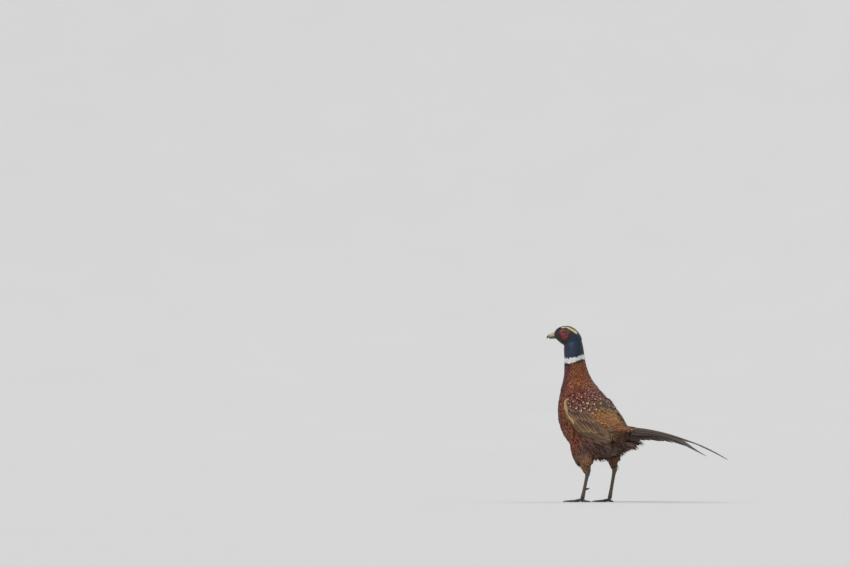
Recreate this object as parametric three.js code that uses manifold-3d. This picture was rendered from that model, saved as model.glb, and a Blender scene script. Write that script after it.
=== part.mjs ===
// A cock common pheasant standing alert, life size, as a still museum model.
// Millimetres, +Z up. The bird faces -Y and its left side is +X. The floor is z = 0.
import * as THREE from "three";
import { mergeVertices } from "three/addons/utils/BufferGeometryUtils.js";
import Module from "manifold-3d";

const wasm = await Module();
wasm.setup();

// Driving dimensions: millimetres and degrees.
const GAP = 0.4; // clearance between neighbouring pieces
const EYE_HEIGHT = 392.5;
const HEAD_LEFT = 20.5;
const HEAD_FORWARD = 107;
const HEAD_TURN = 48; // the head looks this far to the bird's left
const EYE_RADIUS = 5.2;
const EYE_HALF_SPAN = 10.8; // from the head's middle plane to each eye's centre
const TOE_BASE_HEIGHT = 8.5; // height of the joint from which the toes spread
const TAIL_START = -113.6; // forward place where the tail feathers leave the rump
const TAIL_RISE = 171.5; // height of the tail's ridge there
const TAIL_SPAN = 380; // length over the ground from there to the longest tip
const TAIL_DROP = 72.5; // how far the ridge sinks over that length
const TAIL_PAIRS = 9;
const PLATE = 0.65; // thickness of a tail feather
const PLATE_STEP = 1.15; // from one layer of tail feathers to the next

const radians = THREE.MathUtils.degToRad;
const smooth = THREE.MathUtils.smoothstep;
const mix = THREE.MathUtils.lerp;

// The part's point for a place given as left, forward and up of the bird.
const place = (left, forward, up) => new THREE.Vector3(left, -forward, up);

// Each material of the bird, with its colour as the photograph shows it.
const finish = (color, roughness) => new THREE.MeshStandardMaterial({ color, roughness, metalness: 0 });
const MATERIALS = {
  headPlumage: finish(0x30403f, 0.4),
  neckPlumage: finish(0x7a4632, 0.6),
  bodyPlumage: finish(0x6d3a2c, 0.65),
  wingPlumage: finish(0x76604a, 0.7),
  thighPlumage: finish(0x4b3b30, 0.8),
  tailPlumage: finish(0x5a4a38, 0.7),
  bareSkin: finish(0x8c1f22, 0.6),
  bill: finish(0xa79c82, 0.45),
  eye: finish(0x2a1a10, 0.1),
  legScale: finish(0x5f5750, 0.6),
  claw: finish(0x2e2a27, 0.4),
};

// Closed surface through rings of points, which turn from the first axis to the second about the
// direction of travel. A pole closes each end.
function skinOver(rings, startPole, endPole) {
  const sides = rings[0].length;
  const points = [...rings.flat(), startPole, endPole];
  const start = points.length - 2;
  const end = points.length - 1;
  const index = [];
  for (let r = 0; r < rings.length - 1; r++) {
    for (let k = 0; k < sides; k++) {
      const next = (k + 1) % sides;
      const a = r * sides + k;
      const b = r * sides + next;
      index.push(a, b, b + sides, a, b + sides, a + sides);
    }
  }
  const last = (rings.length - 1) * sides;
  for (let k = 0; k < sides; k++) {
    const next = (k + 1) % sides;
    index.push(start, next, k, end, last + k, last + next);
  }
  return new THREE.BufferGeometry().setFromPoints(points).setIndex(index);
}

// An oval ring with a flat side at its foot. Corner is 2 for an ellipse and more for a fuller one.
function oval(centre, across, over, halfAcross, halfOver, sides, corner = 2) {
  const bulge = (value) => Math.sign(value) * Math.abs(value) ** (2 / corner);
  return Array.from({ length: sides }, (_, k) => {
    const turn = (2 * Math.PI * (k + 0.5)) / sides;
    return centre
      .clone()
      .addScaledVector(across, halfAcross * bulge(Math.cos(turn)))
      .addScaledVector(over, halfOver * bulge(Math.sin(turn)));
  });
}

// A loft along stations { at, halfWidth, halfDepth }. Across gives the ring's width axis at a share
// of the length, facing fixes the rings' normal, and swell grows the loft all round.
function loft(stations, { across, facing, rings, sides, corner, swell = 0, floor }) {
  const path = new THREE.CatmullRomCurve3(stations.map((s) => s.at));
  const halves = new THREE.CatmullRomCurve3(
    stations.map((s) => new THREE.Vector3(s.halfWidth, s.halfDepth, 0)),
  );
  const made = [];
  for (let r = 0; r < rings; r++) {
    const t = r / (rings - 1);
    const along = facing ? facing.clone() : path.getTangent(t);
    const wide = across(t).clone();
    wide.addScaledVector(along, -wide.dot(along)).normalize();
    const deep = along.clone().cross(wide);
    const half = halves.getPoint(t);
    made.push(oval(path.getPoint(t), wide, deep, half.x + swell, half.y + swell, sides, corner));
  }
  const pole = (t, way) => {
    const along = facing ? facing.clone() : path.getTangent(t);
    const reach = 0.45 * Math.min(halves.getPoint(t).x, halves.getPoint(t).y) + swell;
    return path.getPoint(t).addScaledVector(along, way * reach);
  };
  const poles = [pole(0, -1), pole(1, 1)];
  if (floor !== undefined) [...made.flat(), ...poles].forEach((p) => (p.z = Math.max(p.z, floor)));
  return skinOver(made, ...poles);
}

// A closed surface as a solid that can be cut, and back.
function solid(geometry) {
  const bare = geometry.clone();
  bare.deleteAttribute("normal");
  bare.deleteAttribute("uv");
  const merged = mergeVertices(bare, 1e-4);
  return new wasm.Manifold(
    new wasm.Mesh({
      numProp: 3,
      vertProperties: new Float32Array(merged.attributes.position.array),
      triVerts: new Uint32Array(merged.index.array),
    }),
  );
}

function surface(body) {
  const mesh = body.getMesh();
  return new THREE.BufferGeometry()
    .setAttribute("position", new THREE.BufferAttribute(mesh.vertProperties, 3))
    .setIndex(new THREE.BufferAttribute(mesh.triVerts, 1));
}

// The largest piece of a cut solid, without the crumbs that a cut can leave.
const largest = (body) => body.decompose().sort((a, b) => b.volume() - a.volume())[0];

const bird = new THREE.Group();

function add(group, name, shape, material) {
  const mesh = new THREE.Mesh(shape.isBufferGeometry ? shape : surface(largest(shape)), material);
  mesh.name = name;
  group.add(mesh);
}

// Trunk and neck: stations from the tail root to inside the head.
const BODY_STATIONS = [
  { at: place(0, -122, 156), halfWidth: 17, halfDepth: 15 },
  { at: place(0, -97, 153), halfWidth: 27, halfDepth: 24 },
  { at: place(0, -64, 146), halfWidth: 36, halfDepth: 38 },
  { at: place(0, -22, 152), halfWidth: 51, halfDepth: 56 },
  { at: place(0, 22, 168), halfWidth: 58, halfDepth: 67.5 },
  { at: place(0, 55, 194), halfWidth: 59.5, halfDepth: 69 },
  { at: place(0, 74, 227), halfWidth: 55, halfDepth: 57 },
  { at: place(1, 86.5, 261), halfWidth: 41.5, halfDepth: 40 },
  { at: place(3, 91, 291), halfWidth: 29, halfDepth: 27.2 },
  { at: place(5, 94.5, 319), halfWidth: 23.8, halfDepth: 23.3 },
  { at: place(6, 96.5, 342), halfWidth: 22.3, halfDepth: 22.5 },
  { at: place(6.5, 98, 359), halfWidth: 20.5, halfDepth: 21.5 },
  { at: place(6.5, 97, 376), halfWidth: 16, halfDepth: 17 },
  { at: place(6.5, 96, 386), halfWidth: 9, halfDepth: 9 },
];
const NECK_TWIST_FROM = 0.55; // share of the body's length where the neck starts to turn with the head
const NECK_BASE = { forward: 82, up: 262, tilt: 28 }; // the cut between neck and trunk

function bodyLoft(swell = 0) {
  const across = (t) => {
    const turn = radians(HEAD_TURN) * smooth(t, NECK_TWIST_FROM, 1);
    return new THREE.Vector3(Math.cos(turn), Math.sin(turn), 0);
  };
  return solid(loft(BODY_STATIONS, { across, rings: 25, sides: 20, corner: 2.1, swell }));
}

// A large box whose lower or upper face is a plane through a point, for cutting the body across.
function halfSpace(point, pitch, above) {
  const size = 700;
  const box = new THREE.BoxGeometry(size, size, size);
  box.translate(0, 0, ((above ? 1 : -1) * (size + GAP)) / 2);
  box.rotateX(radians(pitch));
  box.translate(point.x, point.y, point.z);
  return solid(box);
}

// Head: upright slices from the back of the head to the root of the bill, in the head's own frame,
// whose origin lies midway between the eyes, with forward -Y and up +Z.
const HEAD_STATIONS = [
  { at: place(0, -33.5, -17), halfWidth: 7, halfDepth: 6 },
  { at: place(0, -30, -16), halfWidth: 12, halfDepth: 11 },
  { at: place(0, -23, -13.5), halfWidth: 15.5, halfDepth: 17.5 },
  { at: place(0, -14, -11.5), halfWidth: 17, halfDepth: 22 },
  { at: place(0, -4, -10), halfWidth: 17.2, halfDepth: 23.3 },
  { at: place(0, 6, -9), halfWidth: 16, halfDepth: 21.7 },
  { at: place(0, 15, -6.7), halfWidth: 13.2, halfDepth: 17.3 },
  { at: place(0, 21.5, -5.9), halfWidth: 9.6, halfDepth: 12.2 },
  { at: place(0, 25.5, -6.2), halfWidth: 6.8, halfDepth: 8.4 },
];

function headLoft(swell = 0) {
  const facing = place(0, 1, 0);
  const across = () => place(1, 0, 0);
  return solid(loft(HEAD_STATIONS, { across, facing, rings: 11, sides: 16, swell }));
}

// Bill: both halves run from inside the head to their tips, hooked down at the end.
const UPPER_BILL_STATIONS = [
  { at: place(0, 20, -5.6), halfWidth: 7, halfDepth: 6.2 },
  { at: place(0, 27, -5.8), halfWidth: 6.2, halfDepth: 5.4 },
  { at: place(0, 33.5, -7.2), halfWidth: 5, halfDepth: 4.4 },
  { at: place(0, 39.5, -9.6), halfWidth: 3.4, halfDepth: 3.2 },
  { at: place(0, 43.6, -12.6), halfWidth: 1.8, halfDepth: 1.9 },
  { at: place(0, 45, -15), halfWidth: 0.7, halfDepth: 0.8 },
];
const LOWER_BILL_STATIONS = [
  { at: place(0, 20, -13.6), halfWidth: 5.6, halfDepth: 2.6 },
  { at: place(0, 27, -13.4), halfWidth: 4.9, halfDepth: 2.5 },
  { at: place(0, 33.5, -13.9), halfWidth: 3.8, halfDepth: 2.2 },
  { at: place(0, 39.5, -15), halfWidth: 1.7, halfDepth: 1.2 },
];

function billHalf(stations, swell = 0) {
  const across = () => place(1, 0, 0);
  return solid(loft(stations, { across, rings: 8, sides: 9, corner: 2.3, swell }));
}

// The bare red skin round each eye: a thin shell over the cheek, within two joined ovals.
const WATTLE_LIFT = 1.2;
const WATTLE_INSET = 4; // where the ovals' sideways reach starts, and its length
const WATTLE_REACH = 30;
const WATTLE_OVALS = [
  { forward: 2, up: -1.5, halfLength: 12.5, halfHeight: 9.5 },
  { forward: 1.5, up: -11, halfLength: 9.5, halfHeight: 9.5 },
];

function wattle(side) {
  const ovals = WATTLE_OVALS.map((o) => {
    const rod = new THREE.CylinderGeometry(1, 1, WATTLE_REACH, 12);
    rod.rotateZ(Math.PI / 2);
    rod.scale(1, o.halfLength, o.halfHeight);
    rod.translate(side * (WATTLE_INSET + WATTLE_REACH / 2), -o.forward, o.up);
    return solid(rod);
  });
  return headLoft(WATTLE_LIFT).intersect(ovals[0].add(ovals[1])).subtract(headLoft(GAP));
}

function eyeBall(side, swell = 0) {
  const ball = new THREE.SphereGeometry(EYE_RADIUS + swell, 12, 7);
  ball.translate(side * EYE_HALF_SPAN, 0, 0);
  return solid(ball);
}

const SIDES = [
  { name: "left", sign: 1 },
  { name: "right", sign: -1 },
];

const headGroup = new THREE.Group();
headGroup.position.copy(place(HEAD_LEFT, HEAD_FORWARD, EYE_HEIGHT));
headGroup.rotation.z = radians(HEAD_TURN);
headGroup.updateMatrix();
bird.add(headGroup);

function buildHead() {
  const sockets = eyeBall(1, GAP).add(eyeBall(-1, GAP));
  add(headGroup, "head", headLoft().subtract(sockets), MATERIALS.headPlumage);
  const upper = billHalf(UPPER_BILL_STATIONS);
  const lower = billHalf(LOWER_BILL_STATIONS).subtract(billHalf(UPPER_BILL_STATIONS, GAP));
  add(headGroup, "bill_upper", upper.subtract(headLoft(GAP)), MATERIALS.bill);
  add(headGroup, "bill_lower", lower.subtract(headLoft(GAP)), MATERIALS.bill);
  for (const { name, sign } of SIDES) {
    add(headGroup, `eye_${name}`, eyeBall(sign), MATERIALS.eye);
    add(headGroup, `wattle_${name}`, wattle(sign).subtract(sockets), MATERIALS.bareSkin);
  }
}

function buildNeckAndTrunk() {
  const headCut = surface(headLoft(GAP)).applyMatrix4(headGroup.matrix);
  const cut = place(0, NECK_BASE.forward, NECK_BASE.up);
  const tailCut = halfSpace(place(0, TAIL_START + GAP, TAIL_RISE), -90, true);
  const body = bodyLoft().subtract(solid(headCut));
  const neck = body.intersect(halfSpace(cut, NECK_BASE.tilt, true));
  const trunk = body.intersect(halfSpace(cut, NECK_BASE.tilt, false)).subtract(tailCut);
  add(bird, "neck", neck, MATERIALS.neckPlumage);
  add(bird, "trunk", trunk, MATERIALS.bodyPlumage);
}

// Folded wing: a leaf-shaped cushion that hugs the trunk from the wrist to the tip. Lean turns its
// face from straight sideways towards the back, and dorsal is the way up from the trunk's long axis.
const WING_PITCH = 30;
const WING_STATIONS = [
  { left: 44, forward: 88, up: 234, half: 6, thick: 4.5, lean: 8 },
  { left: 50, forward: 71, up: 228, half: 20, thick: 12, lean: 18 },
  { left: 49, forward: 44, up: 213, half: 31, thick: 19, lean: 30 },
  { left: 43, forward: 7, up: 187, half: 32, thick: 20, lean: 36 },
  { left: 38, forward: -32, up: 163, half: 27, thick: 16, lean: 34 },
  { left: 37, forward: -64, up: 148, half: 17, thick: 9, lean: 24 },
  { left: 39.5, forward: -85, up: 141, half: 10, thick: 5, lean: 18 },
  { left: 42, forward: -99, up: 137, half: 2, thick: 1.5, lean: 16 },
];

function wing(side, swell = 0) {
  const stations = WING_STATIONS.map((s) => ({
    at: place(side * s.left, s.forward, s.up),
    halfWidth: s.thick,
    halfDepth: s.half,
  }));
  const leans = new THREE.CatmullRomCurve3(WING_STATIONS.map((s) => new THREE.Vector3(s.lean, 0, 0)));
  const pitch = radians(WING_PITCH);
  const across = (t) => {
    const lean = radians(leans.getPoint(t).x);
    const dorsal = Math.sin(lean);
    return place(side * Math.cos(lean), -dorsal * Math.sin(pitch), dorsal * Math.cos(pitch));
  };
  return solid(loft(stations, { across, rings: 12, sides: 13, swell }));
}

// Legs: the feathered thigh and drumstick, the bare shank, three toes in front, one behind, and the
// cock's spur. Each leg is given by its knee, hock and toe base. The left thigh's feathers hang
// looser, so it is fuller.
const LEGS = {
  left: { knee: [40, 24, 128], hock: [38, -5, 68], base: [30, 28, TOE_BASE_HEIGHT], fullness: 1 },
  right: { knee: [-40, 22, 134], hock: [-34, -10, 77], base: [-33, 9, TOE_BASE_HEIGHT], fullness: 0.85 },
};
const THIGH_PROFILE = [
  { share: -0.5, halfWidth: 9, halfDepth: 12, back: 0 },
  { share: 0, halfWidth: 18, halfDepth: 26, back: -2 },
  { share: 0.3, halfWidth: 18.5, halfDepth: 27, back: 1 },
  { share: 0.54, halfWidth: 16, halfDepth: 25, back: 8 },
  { share: 0.7, halfWidth: 11, halfDepth: 14.2, back: 1.5 },
  { share: 0.87, halfWidth: 8.8, halfDepth: 11, back: -0.5 },
  { share: 0.97, halfWidth: 7.6, halfDepth: 9.2, back: -0.5 },
];
const SHANK_PROFILE = [
  { share: -0.07, halfWidth: 4.2, halfDepth: 5, back: 0 },
  { share: 0.04, halfWidth: 5.2, halfDepth: 6.2, back: 0 },
  { share: 0.16, halfWidth: 3.6, halfDepth: 4.4, back: 0 },
  { share: 0.5, halfWidth: 3.2, halfDepth: 4, back: 0 },
  { share: 0.82, halfWidth: 3.8, halfDepth: 4.1, back: 0 },
  { share: 0.98, halfWidth: 5, halfDepth: 4.8, back: 0 },
];

// Stations along the straight line from one joint to the next, some of them set back from it.
function limb(from, to, profile) {
  return profile.map(({ share, halfWidth, halfDepth, back }) => ({
    at: place(...from).lerp(place(...to), share).add(place(0, -back, 0)),
    halfWidth,
    halfDepth,
  }));
}

const sideways = () => place(1, 0, 0);

function thigh(leg, swell = 0) {
  const stations = limb(leg.knee, leg.hock, THIGH_PROFILE).map((s) => ({
    at: s.at,
    halfWidth: s.halfWidth * leg.fullness,
    halfDepth: s.halfDepth * leg.fullness,
  }));
  return solid(loft(stations, { across: sideways, rings: 10, sides: 12, swell }));
}

function shank(leg, swell = 0) {
  const stations = limb(leg.hock, leg.base, SHANK_PROFILE);
  return solid(loft(stations, { across: sideways, rings: 9, sides: 9, swell, floor: 0.6 }));
}

// Toes: length without the claw, turn away from straight ahead towards the outside, and girth.
const TOES = [
  { name: "inner", length: 33, turn: -34, girth: 0.9 },
  { name: "middle", length: 47, turn: 2, girth: 1 },
  { name: "outer", length: 36, turn: 38, girth: 0.9 },
  { name: "hind", length: 16, turn: 194, girth: 0.8 },
];
const TOE_HALF_WIDTH = 3.6;
const TOE_JOINTS = 6;
const SOLE = 0.72; // how high a toe's middle lies, in half widths, so that its sole is flat
const CLAW_LENGTH = 12;

// The way a toe points over the floor, and the axis across it.
function toeHeading(side, turn) {
  const heading = radians(side * turn);
  const along = new THREE.Vector3(Math.sin(heading), -Math.cos(heading), 0);
  return { along, across: new THREE.Vector3(-along.y, along.x, 0) };
}

function toeStations(leg, side, { length, turn, girth }) {
  const { along } = toeHeading(side, turn);
  return Array.from({ length: TOE_JOINTS }, (_, k) => {
    const share = k / (TOE_JOINTS - 1);
    const knuckle = k % 2 ? 0.9 : 1.05;
    const half = TOE_HALF_WIDTH * girth * mix(1.08, 0.68, share) * knuckle;
    const at = place(...leg.base).addScaledVector(along, share * length);
    at.z = mix(TOE_BASE_HEIGHT - 2.6, half * SOLE, Math.min(1, share * 1.8));
    return { at, halfWidth: half, halfDepth: half };
  });
}

// A toe lies flat on the floor, with a swelling at each joint, and gets thinner to the claw.
function toe(leg, side, spec, swell = 0) {
  const { across } = toeHeading(side, spec.turn);
  const options = { across: () => across, rings: 6, sides: 8, swell, floor: 0 };
  return solid(loft(toeStations(leg, side, spec), options));
}

// A claw curves down from the toe's end until its point rests on the floor.
function claw(leg, side, spec) {
  const { along, across } = toeHeading(side, spec.turn);
  const root = toeStations(leg, side, spec).at(-1);
  const stations = [0, 0.3, 0.65, 1].map((share) => {
    const half = root.halfWidth * mix(0.86, 0.2, share);
    const at = root.at.clone().addScaledVector(along, 0.6 + share * CLAW_LENGTH * spec.girth);
    at.z = mix(root.at.z + 0.8, half * SOLE, share ** 1.7);
    return { at, halfWidth: half, halfDepth: half };
  });
  return solid(loft(stations, { across: () => across, rings: 4, sides: 6, floor: 0 }));
}

const SPUR = { share: 0.64, length: 11, halfWidth: 3, lift: 1.8 };

// The spur points back and inwards from the lower half of the shank.
function spur(leg, side) {
  const root = place(...leg.hock).lerp(place(...leg.base), SPUR.share);
  const way = new THREE.Vector3(-side * 0.55, 0.82, 0.12).normalize();
  const stations = [0.15, 0.5, 0.8, 1].map((share) => {
    const half = SPUR.halfWidth * mix(1.05, 0.15, share);
    const at = root.clone().addScaledVector(way, share * SPUR.length + 2);
    at.z = root.z + SPUR.lift * share ** 2;
    return { at, halfWidth: half, halfDepth: half };
  });
  return solid(loft(stations, { across: sideways, rings: 5, sides: 6 }));
}

function buildWingsAndLegs() {
  const trunkCut = bodyLoft(GAP);
  for (const { name, sign } of SIDES) {
    const leg = LEGS[name];
    const wingCut = wing(sign, GAP);
    const shankBody = shank(leg);
    const shankCut = shank(leg, GAP);
    add(bird, `wing_${name}`, wing(sign).subtract(trunkCut), MATERIALS.wingPlumage);
    const upperLeg = thigh(leg).subtract(trunkCut).subtract(wingCut).subtract(shankCut);
    add(bird, `thigh_${name}`, upperLeg, MATERIALS.thighPlumage);
    add(bird, `shank_${name}`, shankBody, MATERIALS.legScale);
    add(bird, `spur_${name}`, spur(leg, sign).subtract(shankCut), MATERIALS.claw);
    let taken = shankCut;
    for (const spec of TOES) {
      add(bird, `toe_${spec.name}_${name}`, toe(leg, sign, spec).subtract(taken), MATERIALS.legScale);
      taken = taken.add(toe(leg, sign, spec, GAP));
      add(bird, `claw_${spec.name}_${name}`, claw(leg, sign, spec).subtract(taken), MATERIALS.claw);
    }
  }
}

// Tail: feathers lie in layers on one roof-shaped sheet, the middle pair on top and longest. The
// lists go from the middle pair outwards.
const TAIL_LENGTH_SHARES = [1, 0.68, 0.56, 0.47, 0.4, 0.34, 0.29, 0.25, 0.21];
const TAIL_SPREAD = [3.5, 8, 10, 11.6, 13, 14.2, 15.3, 16.3, 17.2];
const TAIL_SECOND_TIP = 0.935; // the left feather of the middle pair against the right one
const MIDDLE_FLARE = { left: 30, right: 3 }; // how far each middle feather's tip swings outwards
const SIDE_FLARE = 16;
const FLARE_FROM = 0.35; // share of the feather's length where it starts to swing out
const TAIL_HALF_WIDTH = 13.5;
const OUTER_WIDTH_SHARE = 0.75; // the outermost feather against the middle one
const TIP_HALF_WIDTH = 0.35;
const QUILL_SHARE = 0.34; // a feather's width at its root, and its place there, against further out
const QUILL_RUN = 65;
const TAIL_SLICE = 21;
const ROOF_AT_ROOT = 32;
const ROOF_AT_TIP = -3;
const TAIL_CLEARANCE = 0.8; // from the topmost feather to the coverts over it
const ENVELOPE_REACH = 48; // half width of the space that coverts leave to the tail feathers
const ENVELOPE_SLICES = 6;

const tailRidge = (run) => {
  const u = run / TAIL_SPAN;
  return TAIL_RISE - TAIL_DROP * (0.25 * u + 0.75 * u ** 2.2);
};

function tailPoint(run, left, layer, lower) {
  const roof = Math.tan(radians(mix(ROOF_AT_ROOT, ROOF_AT_TIP, run / TAIL_SPAN)));
  const up = tailRidge(run) - roof * Math.abs(left) - layer * PLATE_STEP - (lower ? PLATE : 0);
  return place(left, TAIL_START - run, up);
}

// Six points across a plate of the tail, from one edge over the ridge to the other and back below.
function tailSection(run, right, ridge, left, top, bottom) {
  return [
    tailPoint(run, left, top, false),
    tailPoint(run, left, bottom, true),
    tailPoint(run, ridge, bottom, true),
    tailPoint(run, right, bottom, true),
    tailPoint(run, right, top, false),
    tailPoint(run, ridge, top, false),
  ];
}

const sectionMiddle = (ring) => ring[2].clone().add(ring[5]).multiplyScalar(0.5);

// One tail feather: a long plate that narrows to a point and bends over the roof's ridge.
function tailFeather(pair, name, side) {
  const middle = pair === 0;
  const cut = middle && name === "left" ? TAIL_SECOND_TIP : 1;
  const length = TAIL_SPAN * TAIL_LENGTH_SHARES[pair] * cut;
  const layer = middle ? (side + 1) / 2 : pair + 1;
  const flare = middle ? MIDDLE_FLARE[name] : SIDE_FLARE;
  const fullHalf = TAIL_HALF_WIDTH * mix(1, OUTER_WIDTH_SHARE, pair / (TAIL_PAIRS - 1));
  const runs = [];
  for (let run = 0; run < length - TAIL_SLICE / 2; run += TAIL_SLICE) runs.push(run);
  runs.push(length - 1);
  const rings = runs.map((run) => {
    const u = run / length;
    const quill = mix(QUILL_SHARE, 1, smooth(run, 0, QUILL_RUN));
    const half = fullHalf * quill * (1 - u ** 1.6) ** 0.9 + TIP_HALF_WIDTH;
    const swing = TAIL_SPREAD[pair] * quill + flare * smooth(u, FLARE_FROM, 1) ** 1.3;
    const centre = side * (middle ? swing : Math.max(swing, half + GAP));
    const ridge = THREE.MathUtils.clamp(0, centre - 0.96 * half, centre + 0.96 * half);
    return tailSection(run, centre - half, ridge, centre + half, layer, layer);
  });
  const tip = sectionMiddle(rings.at(-1)).add(place(0, -1, 0));
  return skinOver(rings, sectionMiddle(rings[0]), tip);
}

// The loose feathers under the tail: a tapering cushion from the vent, below the tail's roof.
const VENT_STATIONS = [
  { at: place(0, -74, 131), halfWidth: 21, halfDepth: 16.5 },
  { at: place(0, -98, 132.5), halfWidth: 17, halfDepth: 13.5 },
  { at: place(0, -122, 132), halfWidth: 10.5, halfDepth: 8.5 },
  { at: place(0, -145, 127), halfWidth: 5, halfDepth: 3.5 },
];
// The feathers over the tail's root: a saddle that lies over the ridge and down its sides.
const SADDLE_STATIONS = [
  { at: place(0, -92, 163), halfWidth: 24, halfDepth: 10 },
  { at: place(0, -114, 163), halfWidth: 24, halfDepth: 11 },
  { at: place(0, -138, 161.5), halfWidth: 19, halfDepth: 9 },
  { at: place(0, -164, 163), halfWidth: 7, halfDepth: 3 },
];

// Everything that the tail feathers take up near their roots, with clearance.
function tailEnvelope() {
  const over = -TAIL_CLEARANCE / PLATE_STEP;
  const under = TAIL_PAIRS + 1;
  const rings = Array.from({ length: ENVELOPE_SLICES }, (_, slice) =>
    tailSection(slice * TAIL_SLICE, -ENVELOPE_REACH, 0, ENVELOPE_REACH, over, under),
  );
  rings[0].forEach((p) => (p.y -= GAP));
  return solid(skinOver(rings, sectionMiddle(rings[0]), sectionMiddle(rings.at(-1))));
}

function buildTail() {
  for (let pair = 0; pair < TAIL_PAIRS; pair++) {
    for (const { name, sign } of SIDES) {
      const feather = tailFeather(pair, name, sign);
      add(bird, `tail_feather_${pair + 1}_${name}`, feather, MATERIALS.tailPlumage);
    }
  }
  const taken = bodyLoft(GAP).add(tailEnvelope());
  const cushion = (stations) =>
    solid(loft(stations, { across: sideways, rings: 7, sides: 12 })).subtract(taken);
  add(bird, "tail_coverts_under", cushion(VENT_STATIONS), MATERIALS.thighPlumage);
  add(bird, "tail_coverts_upper", cushion(SADDLE_STATIONS), MATERIALS.bodyPlumage);
}

buildHead();
buildNeckAndTrunk();
buildWingsAndLegs();
buildTail();

// The origin is on the floor, under the middle of the bird's box.
const box = new THREE.Box3().setFromObject(bird, true);
bird.position.set(-(box.min.x + box.max.x) / 2, -(box.min.y + box.max.y) / 2, -box.min.z);

export default bird;
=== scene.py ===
import math

import bpy
import numpy as np
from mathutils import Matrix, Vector
from mathutils.bvhtree import BVHTree
from mathutils.kdtree import KDTree


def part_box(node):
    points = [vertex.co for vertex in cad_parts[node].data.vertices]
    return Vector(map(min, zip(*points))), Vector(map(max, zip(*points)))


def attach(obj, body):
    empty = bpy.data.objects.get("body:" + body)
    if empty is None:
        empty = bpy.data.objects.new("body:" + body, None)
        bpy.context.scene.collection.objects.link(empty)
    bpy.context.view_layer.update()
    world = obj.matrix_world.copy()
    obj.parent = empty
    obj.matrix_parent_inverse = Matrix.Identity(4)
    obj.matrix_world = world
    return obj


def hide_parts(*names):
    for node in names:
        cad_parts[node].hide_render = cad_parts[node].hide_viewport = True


# A cock pheasant standing alert. Metres, the bird faces -Y and its left side is +X.
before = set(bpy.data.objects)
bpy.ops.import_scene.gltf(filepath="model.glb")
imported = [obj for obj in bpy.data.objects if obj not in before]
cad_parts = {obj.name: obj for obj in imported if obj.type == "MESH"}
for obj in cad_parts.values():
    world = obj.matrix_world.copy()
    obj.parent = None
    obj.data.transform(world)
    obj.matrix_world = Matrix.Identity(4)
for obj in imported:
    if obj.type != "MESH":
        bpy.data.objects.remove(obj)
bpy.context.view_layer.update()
chance = np.random.default_rng(11)
MM = 0.001
SIDES = {"left": 1, "right": -1}
UP = np.array([0.0, 0.0, 1.0])
LEFT = np.array([1.0, 0.0, 0.0])


def unit(v):
    return v / np.maximum(np.linalg.norm(v, axis=-1, keepdims=True), 1e-12)


def ramp(x, start, end):
    t = np.clip((x - start) / (end - start), 0, 1)
    return t * t * (3 - 2 * t)


def flat_on(way, normal):
    """Directions without the share of them that points along the normals."""
    return unit(way - (way * normal).sum(-1, keepdims=True) * normal)


def curve_through(points, steps):
    """A smooth curve through points, with that many steps from each to the next."""
    p = np.asarray(points, float)
    before = np.vstack([2 * p[0] - p[1], p[:-1]])[:-1]
    after = np.vstack([p[2:], 2 * p[-1] - p[-2]])
    t = np.linspace(0, 1, steps, endpoint=False)[None, :, None]
    a, b, c, d = before[:, None], p[:-1, None], p[1:, None], after[:, None]
    run = 2 * b + (c - a) * t + (2 * a - 5 * b + 4 * c - d) * t**2 + (3 * b - a - 3 * c + d) * t**3
    return np.vstack([run.reshape(-1, p.shape[1]) / 2, p[-1:]])


# Places on the bird, in millimetres left, forward and up of the point on the floor that its sizes
# are given from. That point and the head's own frame are worked out from the eyes.
HEAD_FORWARD = 107
eye_boxes = [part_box(f"eye_{side}") for side in SIDES]
eye_left, eye_right = (np.array((low + high) / 2) for low, high in eye_boxes)
HEAD_AT = (eye_left + eye_right) / 2
HEAD_ACROSS = unit((eye_left - eye_right) * [1, 1, 0])
HEAD_AHEAD = np.cross(HEAD_ACROSS, UP)
BIRD_Y = HEAD_AT[1] + HEAD_FORWARD * MM


def place(left, forward, up):
    return np.array([left * MM, BIRD_Y - forward * MM, up * MM])


def head_place(points):
    """Millimetres to the left of the head's middle plane, ahead of the eyes and above them."""
    away = (points - HEAD_AT) / MM
    return away @ HEAD_ACROSS, away @ HEAD_AHEAD, away @ UP


# The guide through the middle of the body, from behind the tail's root to inside the head.
GUIDE = [
    (0, -190, 150), (0, -156, 156), (0, -122, 156), (0, -97, 153), (0, -64, 147), (0, -22, 152),
    (0, 22, 168), (0, 55, 194), (0, 74, 227), (1, 86.5, 261), (3, 91, 291), (5, 94.5, 319),
    (6, 96.5, 342), (6.5, 98, 359), (6.5, 97, 376), (6.5, 96, 386),
]
GUIDE_STEPS = 16  # from one station to the next
RUMP_STATION = 2  # the station that lengths along the back are counted from
NECK_TWIST = (0.6, 1.0)  # shares of the guide over which it turns with the head
guide = curve_through([place(*g) for g in GUIDE], GUIDE_STEPS)
guide_run = np.append(0, np.cumsum(np.linalg.norm(np.diff(guide, axis=0), axis=1) / MM))
guide_along = unit(np.gradient(guide, axis=0))
twist = math.atan2(HEAD_ACROSS[1], HEAD_ACROSS[0]) * ramp(guide_run / guide_run[-1], *NECK_TWIST)
guide_run = guide_run - guide_run[GUIDE_STEPS * RUMP_STATION]
guide_across = flat_on(np.stack([np.cos(twist), np.sin(twist), 0 * twist], 1), guide_along)
guide_back = np.cross(guide_along, guide_across)


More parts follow.
